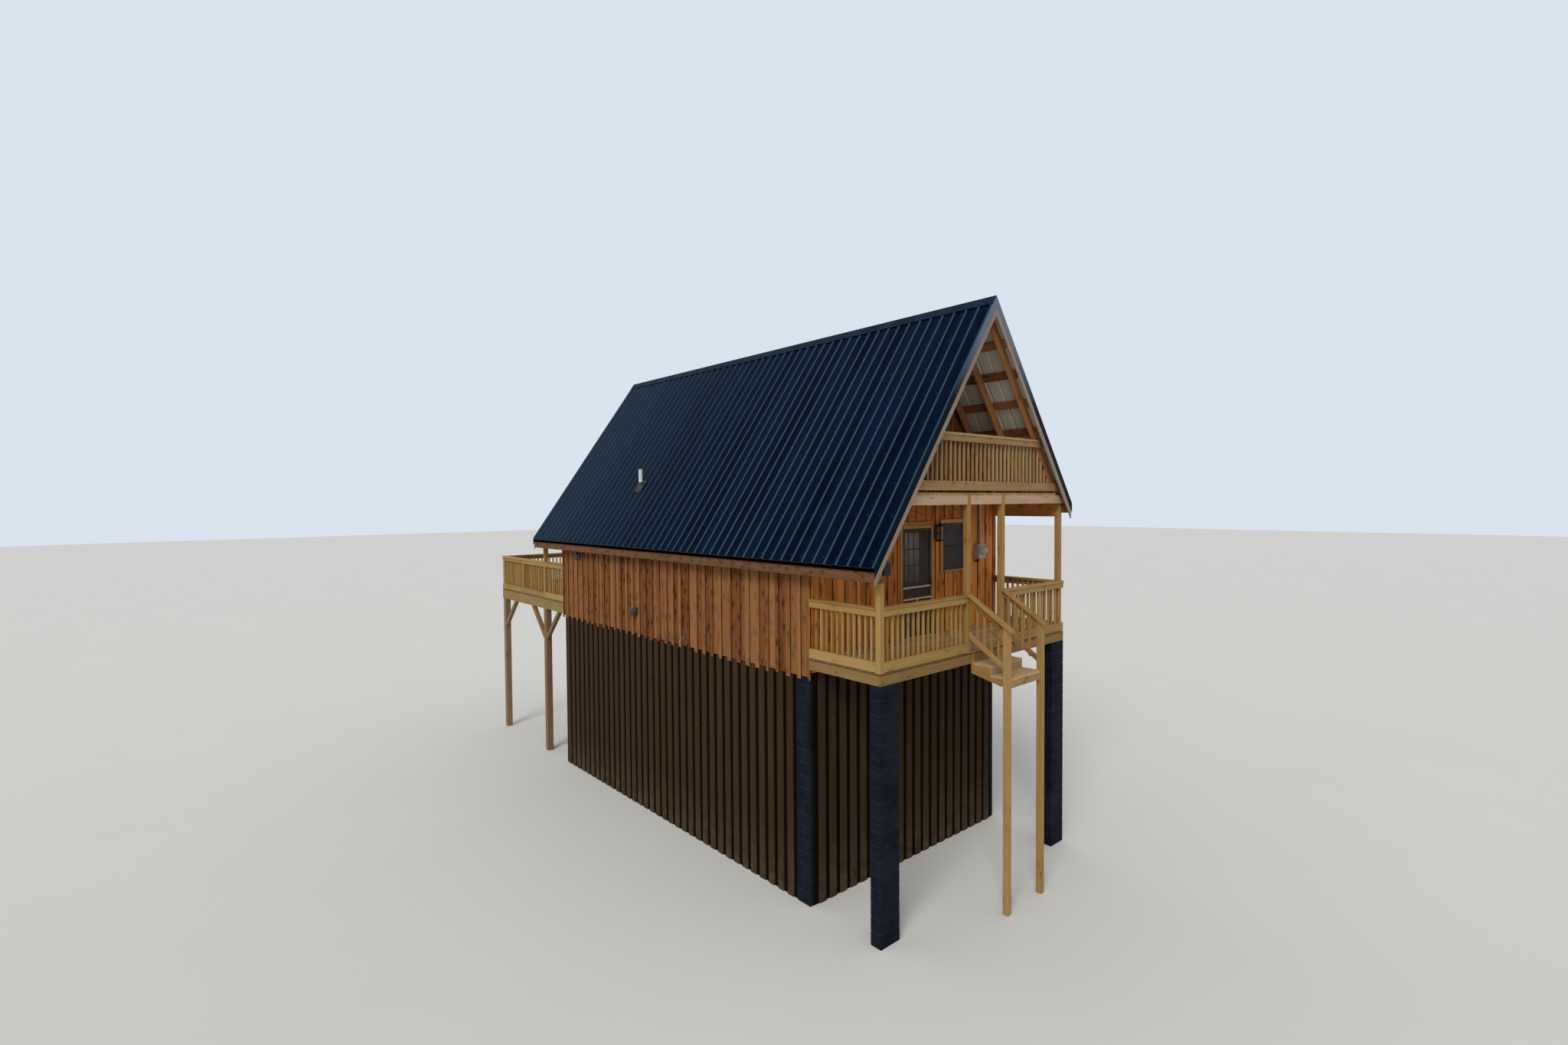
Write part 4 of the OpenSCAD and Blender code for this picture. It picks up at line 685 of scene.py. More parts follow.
def makeStairRailings():
    post, board, thin, seat = (cabin[key] for key in ("post", "board", "baluster", "seat"))
    wide, lowRail, deepRail = stair["capWidth"] / 2, stair["lowRail"], railing["topRail"]
    newelFront, newelBack = stair["newel"] - post / 2, stair["newel"] + post / 2
    start, end = -stair["capOut"] - seat, newelFront - stair["capOut"]
    high = cabin["deck"] + cabin["railTop"]
    low = cabin["rimFoot"] + stair["foot"] + board
    fall = (high - low) / (start - end)
    lean = Matrix.Identity(4)
    lean[2][1] = fall

    def line(y):                               # height of the cap's top along the stairs
        return high - (start - y) * fall

    def fallen(x0, x1, y0, y1, down0, down1):  # a timber that falls with the stairs, its ends plumb
        middle = (y0 + y1) / 2
        turn = Matrix.Translation((0, middle, line(middle))) @ lean
        return pile.timber((x0, y0 - middle, -down1), (x1, y1 - middle, -down0), "y", turn)

    pile = Pile(34)
    for side, x in ((-1, cabin["postLeftX"]), (1, cabin["postRightX"])):
        for v in pile.timber((x - post / 2, newelFront, 0), (x + post / 2, newelBack, 4), "z"):
            if v.co.z > 1:
                v.co.z = line(v.co.y) - board - seat
        for v in fallen(x - wide, x + wide, end, -cabin["capOut"] - seat, 0, board):
            v.co.z = min(v.co.z, high - 0.001)
        for v in fallen(x - board / 2, x + board / 2, newelBack + seat, -seat, board, board + deepRail):
            v.co.z = min(v.co.z, high - board - seat)
        fallen(x - board / 2, x + board / 2, newelBack + seat, -seat, lowRail, lowRail + deepRail)
        inward = x - side * (board / 2 + thin / 2)
        for i in range(1, stair["spaces"]):
            y = newelBack * i / stair["spaces"]
            for v in pile.timber((inward - thin / 2, y - thin / 2, 3), (inward + thin / 2, y + thin / 2, 5), "z"):
                v.co.z = line(v.co.y) - (board if v.co.z > 4 else lowRail + deepRail)
    pile.finish("stair_railing_timbers", wood["newTimber"], 0.003, ("stair_railings",))


drip = {"fall": 0.046, "lap": 0.030, "thick": 0.0016, "kick": 0.004, "kickOut": 0.003, "depth": 0.0042,
        "inset": 0.004, "short": 0.003}


def makeDripEdges():                           # a folded steel strip under the sheets' lower edge
    mesh = bmesh.new()
    for side, reach in ((-1, cabin["leftReach"]), (1, cabin["rightReach"])):
        edge = cabin["ridgeX"] + side * (reach - drip["inset"])
        inner = edge - side * drip["lap"]
        top = roofAt(edge, drip["depth"])
        foot = top - drip["fall"]
        outline = [(inner, roofAt(inner, drip["depth"])), (edge, top), (edge, foot),
                   (edge + side * drip["kickOut"], foot - drip["kick"])]
        front, rear = ([mesh.verts.new((x, y, z)) for x, z in outline]
                       for y in (cabin["roofFront"] + drip["short"], cabin["roofRear"] - drip["short"]))
        for i in range(3):
            mesh.faces.new((front[i], front[i + 1], rear[i + 1], rear[i]))
    bmesh.ops.solidify(mesh, geom=mesh.faces[:], thickness=drip["thick"])
    bmesh.ops.recalc_face_normals(mesh, faces=mesh.faces[:])
    placePiece(mesh, "eave_drip_edges", capFinish)


makePorchRailings()
makeRearRailings()
makeBalconyRailing()
makeStairRailings()
makeDripEdges()
print("railings built")


# wide upright boards with a narrow batten over each joint
siding = {"pitch": 0.249, "batten": 0.096, "uneven": 0.013, "gap": 0.002, "board": 0.007, "proud": 0.025,
          "drop": 0.045, "lap": 0.03, "touch": 0.004, "shortest": 0.02, "underSheets": 0.0415, "underEave": 0.1815,
          "headCap": 0.044}


def cladWall(wide, battens, a, b, low, topOf, stand, holes=(), drop=siding["drop"]):
    dice = battens.dice
    count = max(2, round((b - a) / siding["pitch"]))
    step = (b - a) / count
    middles = [a] + [a + step * i + dice.uniform(-1, 1) * siding["uneven"] for i in range(1, count)] + [b]

    def boards(pile, u0, u1, foot, near, far):
        spans = [(foot, None)]
        for h0, h1, bottom, top in holes:
            if u1 > h0 + siding["touch"] and u0 < h1 - siding["touch"]:
                for side, lapped in ((h0, u0 < h0 - siding["lap"]), (h1, u1 > h1 + siding["lap"])):
                    if lapped:                 # a board that only laps an opening is ripped beside it
                        boards(pile, u0, side, foot, near, far)
                        boards(pile, side, u1, foot, near, far)
                        return
                spans = [s for s in ((foot, bottom), (top, None)) if s[1] is None or s[1] > s[0] + siding["shortest"]]
        for bottom, top in spans:
            stand(pile, u0, u1, bottom, top, topOf, near, far)

    for u0, u1 in zip(middles, middles[1:]):
        boards(wide, u0 + siding["gap"], u1 - siding["gap"], low + dice.uniform(0.0, 0.008), 0.0, siding["board"])
    for middle in middles:
        half = siding["batten"] / 2 + dice.uniform(-1, 1) * 0.010
        foot = low - drop + dice.uniform(-0.016, 0.016)
        boards(battens, max(a, middle - half), min(b, middle + half), foot if drop else low, siding["board"],
               siding["proud"] + dice.uniform(-0.002, 0.0))


def sideStand(sign):                           # boards on a side wall: u runs along the house
    def stand(pile, u0, u1, bottom, top, topOf, near, far):
        x0, x1 = sorted((sign * (cabin["core"] + near), sign * (cabin["core"] + far)))
        pile.timber((x0, u0, bottom), (x1, u1, topOf(0) if top is None else top), "z")
    return stand


def endStand(face, sign):                      # boards on an end wall: u runs across the house
    def stand(pile, u0, u1, bottom, top, topOf, near, far):
        ridge, hair = cabin["ridgeX"], 0.0005
        if top is None and u0 < ridge - 0.002 < ridge + 0.002 < u1:
            stand(pile, u0, ridge, bottom, None, topOf, near, far)
            stand(pile, ridge, u1, bottom, None, topOf, near, far)
            return
        y0, y1 = sorted((face + sign * near, face + sign * far))
        if top is not None:
            pile.timber((u0, y0, bottom), (u1, y1, top), "z")
            return
        if max(topOf(u0 + hair), topOf(u1 - hair)) < bottom + 0.01:
            return
        for v in pile.timber((u0, y0, bottom), (u1, y1, bottom + 1), "z"):
            if v.co.z > bottom + 0.5:          # the head follows the roof
                v.co.z = max(topOf(min(max(v.co.x, u0 + hair), u1 - hair)), bottom + 0.004)
    return stand


def makeSiding():
    core, header, loft = cabin["core"], cabin["header"], cabin["loft"]
    doorHole = (cabin["doorX"] - cabin["doorHalf"] - casingOver, cabin["doorX"] + cabin["doorHalf"] + casingOver,
                0, cabin["doorTop"] + casingOver + siding["headCap"])
    windowHole = (cabin["windowX"] - cabin["windowHalf"] - casingOver,
                  cabin["windowX"] + cabin["windowHalf"] + casingOver,
                  cabin["windowFoot"] - cabin["sillDrop"], cabin["windowTop"] + casingOver)

    def nailUp(name, seed, finish, *wall):
        wide, battens = Pile(seed + 20), Pile(seed)
        cladWall(wide, battens, *wall)
        wide.finish(name + "_boards", wood[finish], 0.0015)
        battens.finish(name + "_battens", wood[finish], 0.0025)

    def gableTop(x):
        return roofAt(x, siding["underSheets"])

    leftTop = roofAt(-cabin["half"], siding["underEave"])
    for name, seed, sign, top in (("left", 11, -1, leftTop), ("right", 12, 1, header - 0.001)):
        nailUp(name + "_siding", seed, "sideCedar", cabin["front"], cabin["rear"], cabin["sidingFoot"],
               lambda u: top, sideStand(sign))
    left, right = (underX(side, loft, siding["underSheets"]) - side * 0.01 for side in (-1, 1))
    for name, face, sign, seed in (("front", coreFront, -1, 13), ("rear", coreRear, 1, 15)):
        stand = endStand(face, sign)
        nailUp(name + "_siding", seed, "litEndCedar", -core, core, cabin["deck"] + 0.003,
               lambda x: min(header - 0.002, gableTop(x)), stand, (doorHole, windowHole), 0)
        nailUp(name + "_gable", seed + 1, "gableCedar", left, right, loft + 0.002, gableTop, stand, (), 0)


makeSiding()
print("siding nailed up")


# windows: casings round the holes, dark sashes and insect screens
window = {"sash": 0.022, "sashOut": 0.014, "sashIn": 0.030, "rail": 0.022, "railBack": 0.004, "sillOut": 0.012,
          "sideBack": 0.002, "clothOut": 0.010, "cloth": 0.0015}


def makeWindows():
    x0, x1 = cabin["windowX"] - cabin["windowHalf"], cabin["windowX"] + cabin["windowHalf"]
    z0, z1 = cabin["windowFoot"], cabin["windowTop"]
    t, s, over, drop = cabin["liner"], window["sash"], casingOver, cabin["sillDrop"]
    out, room = cabin["front"] - cabin["casingOut"], cabin["front"] + cabin["wallDeep"]
    boards = [((x0 - over, z1 - t), (x1 + over, z1 + over), "x", out, coreFront),
              ((x0 - over, z0 - drop), (x0 + t, z1 - t), "z", out + window["sideBack"], coreFront),
              ((x1 - t, z0 - drop), (x1 + over, z1 - t), "z", out + window["sideBack"], coreFront),
              ((x0 + t, z0 - drop), (x1 - t, z0 + t), "x", out - window["sillOut"], coreFront)]
    boards += [(*bar, coreFront, room) for bar in frameBars(x0, x1, z0, z1, t)]
    left, right, foot, head = x0 + t, x1 - t, z0 + t, z1 - t
    middle = (foot + head) / 2
    casings, screens, sashes = Pile(41), Pile(43), bmesh.new()
    for rear in (False, True):
        def depths(near, far):                 # the rear window is the front one turned about
            return (endToEnd - far, endToEnd - near) if rear else (near, far)

        for low, high, run, near, far in boards:
            near, far = depths(near, far)
            casings.timber((low[0], near, low[1]), (high[0], far, high[1]), run)
        near, far = depths(coreFront - window["sashOut"], coreFront + window["sashIn"])
        addFrame(sashes, left, right, foot, head, s, near, far)
        addBox(sashes, (left + s, near + window["railBack"], middle - window["rail"] / 2),
               (right - s, far - window["railBack"], middle + window["rail"] / 2))
        near, far = depths(coreFront - window["clothOut"], coreFront - window["clothOut"] + window["cloth"])
        screens.timber((left + s, near, foot + s), (right - s, far, head - s), "z")
    casings.finish("window_casings", wood["doorTimber"], 0.002, ("window_frame",))
    screens.finish("window_screens", windowCloth, 0)
    easeEdges(sashes, 0.002)
    placePiece(sashes, "window_sashes", paint["lampBlack"])


# doors: nine small panes over two panels, and a screen door of stiles, rails and cloth
door = {"gap": 0.005, "thick": 0.040, "stile": 0.050, "cross": 0.630, "crossUp": 0.195, "crossHigh": 0.030,
        "bar": 0.022, "moulding": 0.022, "proud": 0.009, "liteWide": 0.440, "liteHigh": 0.830, "liteUp": 0.920,
        "mullion": 0.035, "panelFoot": 0.20, "panelHead": 0.14, "capFoot": 0.005, "hinge": 0.045}


def liteOf(middle):                            # the outline of a door's panes
    foot = cabin["floor"] + door["liteUp"]
    return middle - door["liteWide"] / 2, middle + door["liteWide"] / 2, foot, foot + door["liteHigh"]


def addPanelling(mesh, left, right, foot, inset, near, far):   # mouldings round the panes and both panels
    middle, wide = (left + right) / 2, door["moulding"]
    lite = liteOf(middle)
    low, high = foot + door["panelFoot"], lite[2] - door["panelHead"]
    for x0, x1, z0, z1 in (lite, (left + inset, middle - door["mullion"], low, high),
                           (middle + door["mullion"], right - inset, low, high)):
        addFrame(mesh, x0 - wide, x1 + wide, z0 - wide, z1 + wide, wide, near, far)


def addPaneBars(mesh, lite, upright, level):   # two upright and two level bars, each pair at its own depths
    x0, x1, z0, z1 = lite
    half = door["bar"] / 2
    for i in (1, 2):
        x, z = x0 + (x1 - x0) * i / 3, z0 + (z1 - z0) * i / 3
        addBox(mesh, (x - half, upright[0], z0), (x + half, upright[1], z1))
        addBox(mesh, (x0, level[0], z - half), (x1, level[1], z + half))


def makeFrontDoors():
    left = cabin["doorX"] - cabin["doorHalf"] + cabin["liner"] + door["gap"]
    right = cabin["doorX"] + cabin["doorHalf"] - cabin["liner"] - door["gap"]
    foot, head = cabin["floor"] + door["gap"], cabin["doorTop"] - cabin["liner"] - door["gap"]
    middle = (left + right) / 2
    face = cabin["front"] + cabin["wallDeep"] - door["thick"]
    bars = bmesh.new()
    for back, front in ((face + 0.006, face + 0.0155), (face + 0.0245, face + 0.034)):
        addPaneBars(bars, liteOf(middle), (back, front), (back + 0.001, front - 0.001))
    for near, far in ((face - door["proud"], face), (face + door["thick"], face + door["thick"] + door["proud"])):
        addPanelling(bars, left, right, foot, 0.11, near, far)
    easeEdges(bars, 0.003)
    placePiece(bars, "door_glazing_bars", paint["doorPaint"], body="front_door")

    y0, y1 = cabin["front"] - cabin["casingOut"], cabin["front"] + 0.006
    stile = door["stile"]
    low = cabin["floor"] + door["cross"]
    frameWork = Pile(45)
    frameWork.timber((left, y0, foot), (left + stile, y1, head), "z")
    frameWork.timber((right - stile, y0, foot), (right, y1, head), "z")
    frameWork.timber((left + stile, y0, foot), (right - stile, y1, foot + 2 * stile), "x")
    frameWork.timber((left + stile, y0, head - stile), (right - stile, y1, head), "x")
    frameWork.finish("screen_door_frame", wood["screenTimber"], 0.003, ("screen_door",), "screen_door")
    rails = Pile(46)
    for z in (low, low + door["crossUp"]):
        rails.timber((left + 0.002, y0 - 0.004, z), (right - 0.002, y1 - 0.002, z + door["crossHigh"]), "x")
    rails.timber((middle - 0.013, y0 + 0.003, foot + 2 * stile), (middle + 0.013, y1 - 0.003, low), "z")
    rails.finish("screen_door_rails", wood["railPine"], 0.003, body="screen_door")
    makeHeadCaps()
    makeScreenIrons(left, right, foot, head, y0)


def makeScreenIrons(left, right, foot, head, face):    # three hinges and a pull handle
    irons = bmesh.new()
    pinX, pinY, half = left - door["gap"], face - 0.0073, door["hinge"]
    for share in (0.12, 0.5, 0.88):
        z = foot + share * (head - foot)
        for i in range(5):                     # knuckles with a hair of space between them
            low = z - half + i * 0.018
            addRod(irons, (pinX, pinY, low), (pinX, pinY, low + 0.0168), 0.007, sides=14)
        addBox(irons, (pinX + 0.0035, pinY - 0.001, z - half), (left + 0.032, face + 0.0005, z + half))
        for dz in (-0.03, 0, 0.03):
            addRod(irons, (left + 0.02, face, z + dz), (left + 0.02, face - 0.0098, z + dz), 0.004, sides=8)
    x, z = right - door["stile"] / 2, cabin["floor"] + 0.88
    addBox(irons, (x - 0.013, face - 0.004, z - 0.075), (x + 0.013, face, z + 0.075))
    for dz in (-0.055, 0.055):
        addRod(irons, (x, face, z + dz), (x, face - 0.028, z + dz), 0.005)
    addRod(irons, (x, face - 0.026, z - 0.062), (x, face - 0.026, z + 0.062), 0.006)
    placePiece(irons, "screen_door_irons", paint["lampBlack"], body="screen_door")


def makeHeadCaps():                            # a second board over each door's head casing
    cap = Pile(47)
    foot = cabin["doorTop"] + casingOver
    half = cabin["doorHalf"] + casingOver
    near, far = cabin["front"] - 0.021, coreFront
    for y0, y1 in ((near, far), (endToEnd - far, endToEnd - near)):
        cap.timber((cabin["doorX"] - half, y0, foot + door["capFoot"]),
                   (cabin["doorX"] + half, y1, foot + siding["headCap"]), "x")
    cap.finish("door_head_caps", wood["doorTimber"], 0.002)


def makeRearDoor():                            # casings, a slab, and nine panes over two panels like the front door's
    def y(ahead):                              # a depth from the rear face, inwards
        return cabin["rear"] - ahead

    left, right = cabin["doorX"] - cabin["doorHalf"], cabin["doorX"] + cabin["doorHalf"]
    t, over, top, foot = cabin["liner"], casingOver, cabin["doorTop"], cabin["floor"]
    casings = Pile(48)
    casings.timber((left - over, y(0.025), foot), (left + t, y(-0.017), top - t), "z")
    casings.timber((right - t, y(0.025), foot), (right + over, y(-0.017), top - t), "z")
    casings.timber((left - over, y(0.025), top - t), (right + over, y(-0.019), top + over), "x")
    casings.finish("rear_door_casings", wood["doorTimber"], 0.002, ("rear_door",))
    slab, panes, knob = bmesh.new(), bmesh.new(), bmesh.new()
    face = 0.024
    lite = liteOf((left + right) / 2)
    addBox(slab, (left, y(0.065), foot), (right, y(face), top))
    addPanelling(slab, left, right, foot, 0.13, y(face), y(face - door["proud"]))
    addPaneBars(slab, lite, (y(face), y(face - 0.006)), (y(face), y(face - 0.005)))
    easeEdges(slab, 0.003)
    addBox(panes, (lite[0], y(face), lite[2]), (lite[1], y(face - 0.002), lite[3]))
    turn = Matrix.Translation((left + 0.085, y(face), foot + 0.92)) @ Matrix.Rotation(-math.pi / 2, 4, "X")
    addTurned(knob, [(0.0, 0.0), (0.030, 0.0), (0.030, 0.006), (0.012, 0.010), (0.012, 0.026), (0.026, 0.036),
                     (0.026, 0.050), (0.014, 0.058), (0.0, 0.059)], turn, 28)
    placePiece(slab, "rear_door_slab", paint["doorPaint"])
    placePiece(panes, "rear_door_panes", doorPanes)
    placePiece(knob, "rear_door_knob", paint["lampBlack"])


makeWindows()
makeFrontDoors()
makeRearDoor()
print("windows and doors fitted")


# lanterns: a back plate and arm, a cage round the glass, and a pitched cap with a finial
lanterns = ({"at": (0.580, cabin["front"], 5.385), "turn": 180, "width": 0.130, "height": 0.320},
            {"at": (-cabin["half"], 8.910, 4.815), "turn": 90, "width": 0.099, "height": 0.165})


def makeLantern(iron, glass, bulb, look):
    width, height = look["width"], look["height"]
    turn = Matrix.Translation(look["at"]) @ Matrix.Rotation(math.radians(look["turn"]), 4, "Z")
    depth, stand, bar = 0.9 * width, 0.35 * width, 0.055 * width
    mid, cageEnd = stand + depth / 2, stand + 0.9 * depth
    parts = bmesh.new()

    def box(half, y0, y1, z0, z1):             # a box across the middle, by shares of the width and height
        addBox(parts, (-half * width, y0, z0 * height), (half * width, y1, z1 * height))

    box(1 / 3, -0.018, 0.012, 0.15, 0.85)
    box(0.018 / width, 0.0, stand, 0.36, 0.46)
    box(0.45, stand, stand + 0.95 * depth, 0, 0.05)
    box(0.40, stand + 0.02 * depth, stand + 0.93 * depth, 0.05, 0.10)
    box(0.50, stand, stand + depth, 0.80, 0.85)
    box(0.38, cageEnd - 1.5 * bar, cageEnd - 0.5 * bar, 0.42, 0.45)
    for x in (-0.38 * width, 0.38 * width):
        for y in (stand + bar, cageEnd - bar):
            addBox(parts, (x - bar, y - bar, 0.1 * height), (x + bar, y + bar, 0.82 * height))
        addBox(parts, (x - 0.5 * bar, stand + bar, 0.42 * height), (x + 0.5 * bar, cageEnd - bar, 0.45 * height))
    easeEdges(parts, 0.0015)
    roof = Matrix.Translation((0, mid, 0.905 * height)) @ Matrix.Rotation(math.pi / 4, 4, "Z")
    bmesh.ops.create_cone(parts, cap_ends=True, segments=4, radius1=0.68 * width, radius2=0.17 * width,
                          depth=0.11 * height, matrix=roof)
    addRod(parts, (0, mid, 0.955 * height), (0, mid, height), 0.06 * width, 0.03 * width)
    path = [(0.008, 0.70), (0.012, 0.84), (0.30 * mid, 0.95), (0.65 * mid, 0.985), (mid, 0.975)]
    for (y0, z0), (y1, z1) in zip(path, path[1:]):     # the arm curves up from the plate and over the cap
        addRod(parts, (0, y0, z0 * height), (0, y1, z1 * height), 0.035 * width, sides=10)
    bmesh.ops.transform(parts, matrix=turn, verts=parts.verts[:])
    joinIn(iron, parts)
    x, y0, y1, pane = 0.33 * width, stand + 0.13 * depth, stand + 0.77 * depth, 0.002
    for near, far in (((-x, y1), (x, y1 + pane)), ((-x - pane, y0), (-x, y1)), ((x, y0), (x + pane, y1))):
        addBox(glass, (*near, 0.1 * height), (*far, 0.8 * height), turn)
    for low, high, radius in ((0.10, 0.18, 0.11), (0.18, 0.34, 0.060)):
        addRod(bulb, (0, mid, low * height), (0, mid, high * height), radius * width, radius * width * 0.8, turn=turn)
    globe = Matrix.Translation((0, mid, 0.41 * height)) @ Matrix.Diagonal((1, 1, 1.5, 1))
    bmesh.ops.create_uvsphere(bulb, u_segments=16, v_segments=10, radius=0.085 * width, matrix=turn @ globe)


def makeLanterns():
    iron, glass, bulb = bmesh.new(), bmesh.new(), bmesh.new()
    for look in lanterns:
        makeLantern(iron, glass, bulb, look)
    placePiece(iron, "lantern_cages", paint["lampBlack"], ("wall_lamps",))
    placePiece(glass, "lantern_glass", lampGlass)
    placePiece(bulb, "lantern_bulbs", paint["bulbCream"])


# electric meter: a box with a hub, a ring and a glass over a plain dial, its conduit, and a junction box
meter = {"x": 1.855, "foot": 5.015, "wide": 0.200, "high": 0.270, "stand": 0.095, "glass": 0.150, "dialUp": 0.1566,
         "conduit": 0.024, "conduitX": 0.035, "conduitOut": 0.024, "straps": (0.24, 0.58), "stubX": -0.060,
         "stubBack": 0.055, "clocks": 5, "clockPitch": 0.017}


def makeMeter():
    x, foot, head = meter["x"], meter["foot"], meter["foot"] + meter["high"]
    front, half, r = cabin["front"] - meter["stand"], meter["wide"] / 2, meter["glass"] / 2
    stub = bmesh.new()                         # a dark stub leaves the box's foot and turns into the wall
    sx, sy = x + meter["stubX"], front + meter["stubBack"]
    addRod(stub, (sx, sy, foot - 0.060), (sx, sy, foot + 0.002), 0.019, sides=20)
    addRod(stub, (sx, sy, foot - 0.072), (sx, sy, foot - 0.060), 0.012, 0.021, sides=20)
    addRod(stub, (sx, sy, foot - 0.046), (sx, cabin["front"] + 0.020, foot - 0.046), 0.016, sides=20)
    placePiece(stub, "meter_stub", paint["bootBlack"])

    box = bmesh.new()
    addBox(box, (x - half, front + 0.012, foot), (x + half, coreFront, head))
    addBox(box, (x - half + 0.004, front, foot + 0.006), (x + half - 0.004, front + 0.010, head - 0.006))
    addBox(box, (x - 0.02, front - 0.006, foot - 0.004), (x + 0.02, front + 0.02, foot + 0.012))
    easeEdges(box, 0.004, 2)
    turn = Matrix.Translation((x, front, foot + meter["dialUp"])) @ Matrix.Rotation(math.pi / 2, 4, "X")
    addTurned(box, [(r - 0.006, 0.0), (r + 0.012, 0.0), (r + 0.012, 0.014), (r + 0.006, 0.022), (r - 0.004, 0.022),
                    (r - 0.006, 0.0)], turn, 48)
    cx, cy, c = x + meter["conduitX"], cabin["front"] - meter["conduitOut"], meter["conduit"]
    addTurned(box, [(c, head - 0.001), (c, cabin["header"])], Matrix.Translation((cx, cy, 0)), 24)
    for z, grow, tall in ((head, 0.010, 0.030), (head + 0.030, 0.004, 0.018)):
        addRod(box, (cx, cy, z), (cx, cy, z + tall), c + grow, sides=24)
    for up in meter["straps"]:                 # straps hold the pipe to the boards
        z0, z1 = head + up - 0.010, head + up + 0.010
        addBox(box, (cx - c - 0.022, cy + 0.004, z0), (cx + c + 0.022, cabin["front"] + 0.002, z1))
        addRod(box, (cx, cy, z0), (cx, cy, z1), c + 0.002, sides=24)
    placePiece(box, "meter_box", paint["meterGrey"], ("electric_meter",))
    makeMeterDial(Vector((x, front - 0.016, foot + meter["dialUp"])))

    dome = bmesh.new()
    outer = [(r - 0.008, 0.004), (r - 0.008, 0.048), (r - 0.012, 0.064), (r - 0.022, 0.074), (r * 0.45, 0.079),
             (0.0, 0.080)]
    inner = [(0.0, 0.077), (r * 0.44, 0.076), (r - 0.025, 0.071), (r - 0.015, 0.062), (r - 0.011, 0.048),
             (r - 0.011, 0.004)]
    addTurned(dome, outer + inner + [outer[0]], turn, 48)
    placePiece(dome, "meter_glass", meterGlass)


def makeMeterDial(spot):
    dial = bmesh.new()
    addRod(dial, spot + Vector((0, 0.016, 0)), spot, meter["glass"] / 2 - 0.012, sides=40)
    addBox(dial, spot + Vector((-0.045, -0.006, 0.004)), spot + Vector((0.045, 0.001, 0.040)))
    for i in range(meter["clocks"]):           # small plain clock faces
        at = spot + Vector(((i - (meter["clocks"] - 1) / 2) * meter["clockPitch"], -0.006, 0.022))
        addRod(dial, at, at + Vector((0, -0.002, 0)), 0.007, sides=16)
    addBox(dial, spot + Vector((-0.050, -0.003, -0.026)), spot + Vector((0.050, 0.001, -0.018)))
    easeEdges(dial, 0.001)
    placePiece(dial, "meter_dial", paint["dialFace"])


junction = {"x": -0.780, "z": 4.995, "wide": 0.150, "high": 0.210, "stand": 0.060, "cover": 0.010, "lip": 0.004}


def makeJunctionBox():
    x, z, w, h = junction["x"], junction["z"], junction["wide"] / 2, junction["high"] / 2
    face = cabin["front"] - junction["stand"]
    lip, front = junction["lip"], face - junction["cover"]
    box = bmesh.new()
    addBox(box, (x - w, face, z - h), (x + w, coreFront, z + h))
    addBox(box, (x - w - lip, front, z - h - lip), (x + w + lip, face, z + h + lip))
    easeEdges(box, 0.003, 2)
    for dx in (-0.066, 0.066):
        for dz in (-0.092, 0.092):
            addRod(box, (x + dx, front, z + dz), (x + dx, front - 0.003, z + dz), 0.005, sides=10)
    addRod(box, (x, cabin["front"] - 0.02, z + h), (x, cabin["front"] - 0.02, z + h + 0.035), 0.013)
    placePiece(box, "junction_box", paint["bootBlack"])


pipe = {"x": -1.825, "y": 7.260, "radius": 0.042, "rise": 0.390, "bore": 0.006, "down": 0.06, "plate": (0.135, 0.125),
        "onRibs": 0.0195, "steps": 5, "screws": 8}


def makeRoofPipe():                            # the pipe, and its rubber boot on a plate that lies on the ribs
    x, y, r = pipe["x"], pipe["y"], pipe["radius"]
    foot, down, bore = roofAt(x, 0), pipe["down"], r - pipe["bore"]
    upright = Matrix.Translation((x, y, 0))
    tube = bmesh.new()
    addTurned(tube, [(r, foot - down), (r, foot + pipe["rise"] - 0.004), (r - 0.002, foot + pipe["rise"]),
                     (bore, foot + pipe["rise"]), (bore, foot - down), (r, foot - down)], upright, 40)
    placePiece(tube, "roof_pipe", paint["pipePale"], ("vents",))
    boot = bmesh.new()
    pitch = math.atan(cabin["leftSlope"])
    lay = Matrix.Translation((x, y, foot + pipe["onRibs"] / math.cos(pitch))) @ Matrix.Rotation(-pitch, 4, "Y")
    wide, high = pipe["plate"]
    addBox(boot, (-wide, -high, 0.0), (wide, high, 0.006), lay)
    easeEdges(boot, 0.002)
    rings = [(r + 0.052, foot - 0.10)]
    for i in range(pipe["steps"]):
        z = foot + 0.004 + i * 0.022
        rings += [(r + 0.030 - i * 0.005, z), (r + 0.026 - i * 0.005, z + 0.014)]
    rings += [(r + 0.004, foot + 0.118), (r, foot + 0.118)]
    addTurned(boot, rings, upright, 40)
    for i in range(pipe["screws"]):
        angle = math.tau * (i + 0.5) / pipe["screws"]
        at = Vector((0.118 * math.cos(angle), 0.108 * math.sin(angle), 0.006))
        addRod(boot, at, at + Vector((0, 0, 0.005)), 0.006, sides=8, turn=lay)
    placePiece(boot, "pipe_boot", paint["bootBlack"])


hood = {"y": 6.455, "foot": 3.850, "wide": 0.150, "out": 0.105, "louvres": 3}


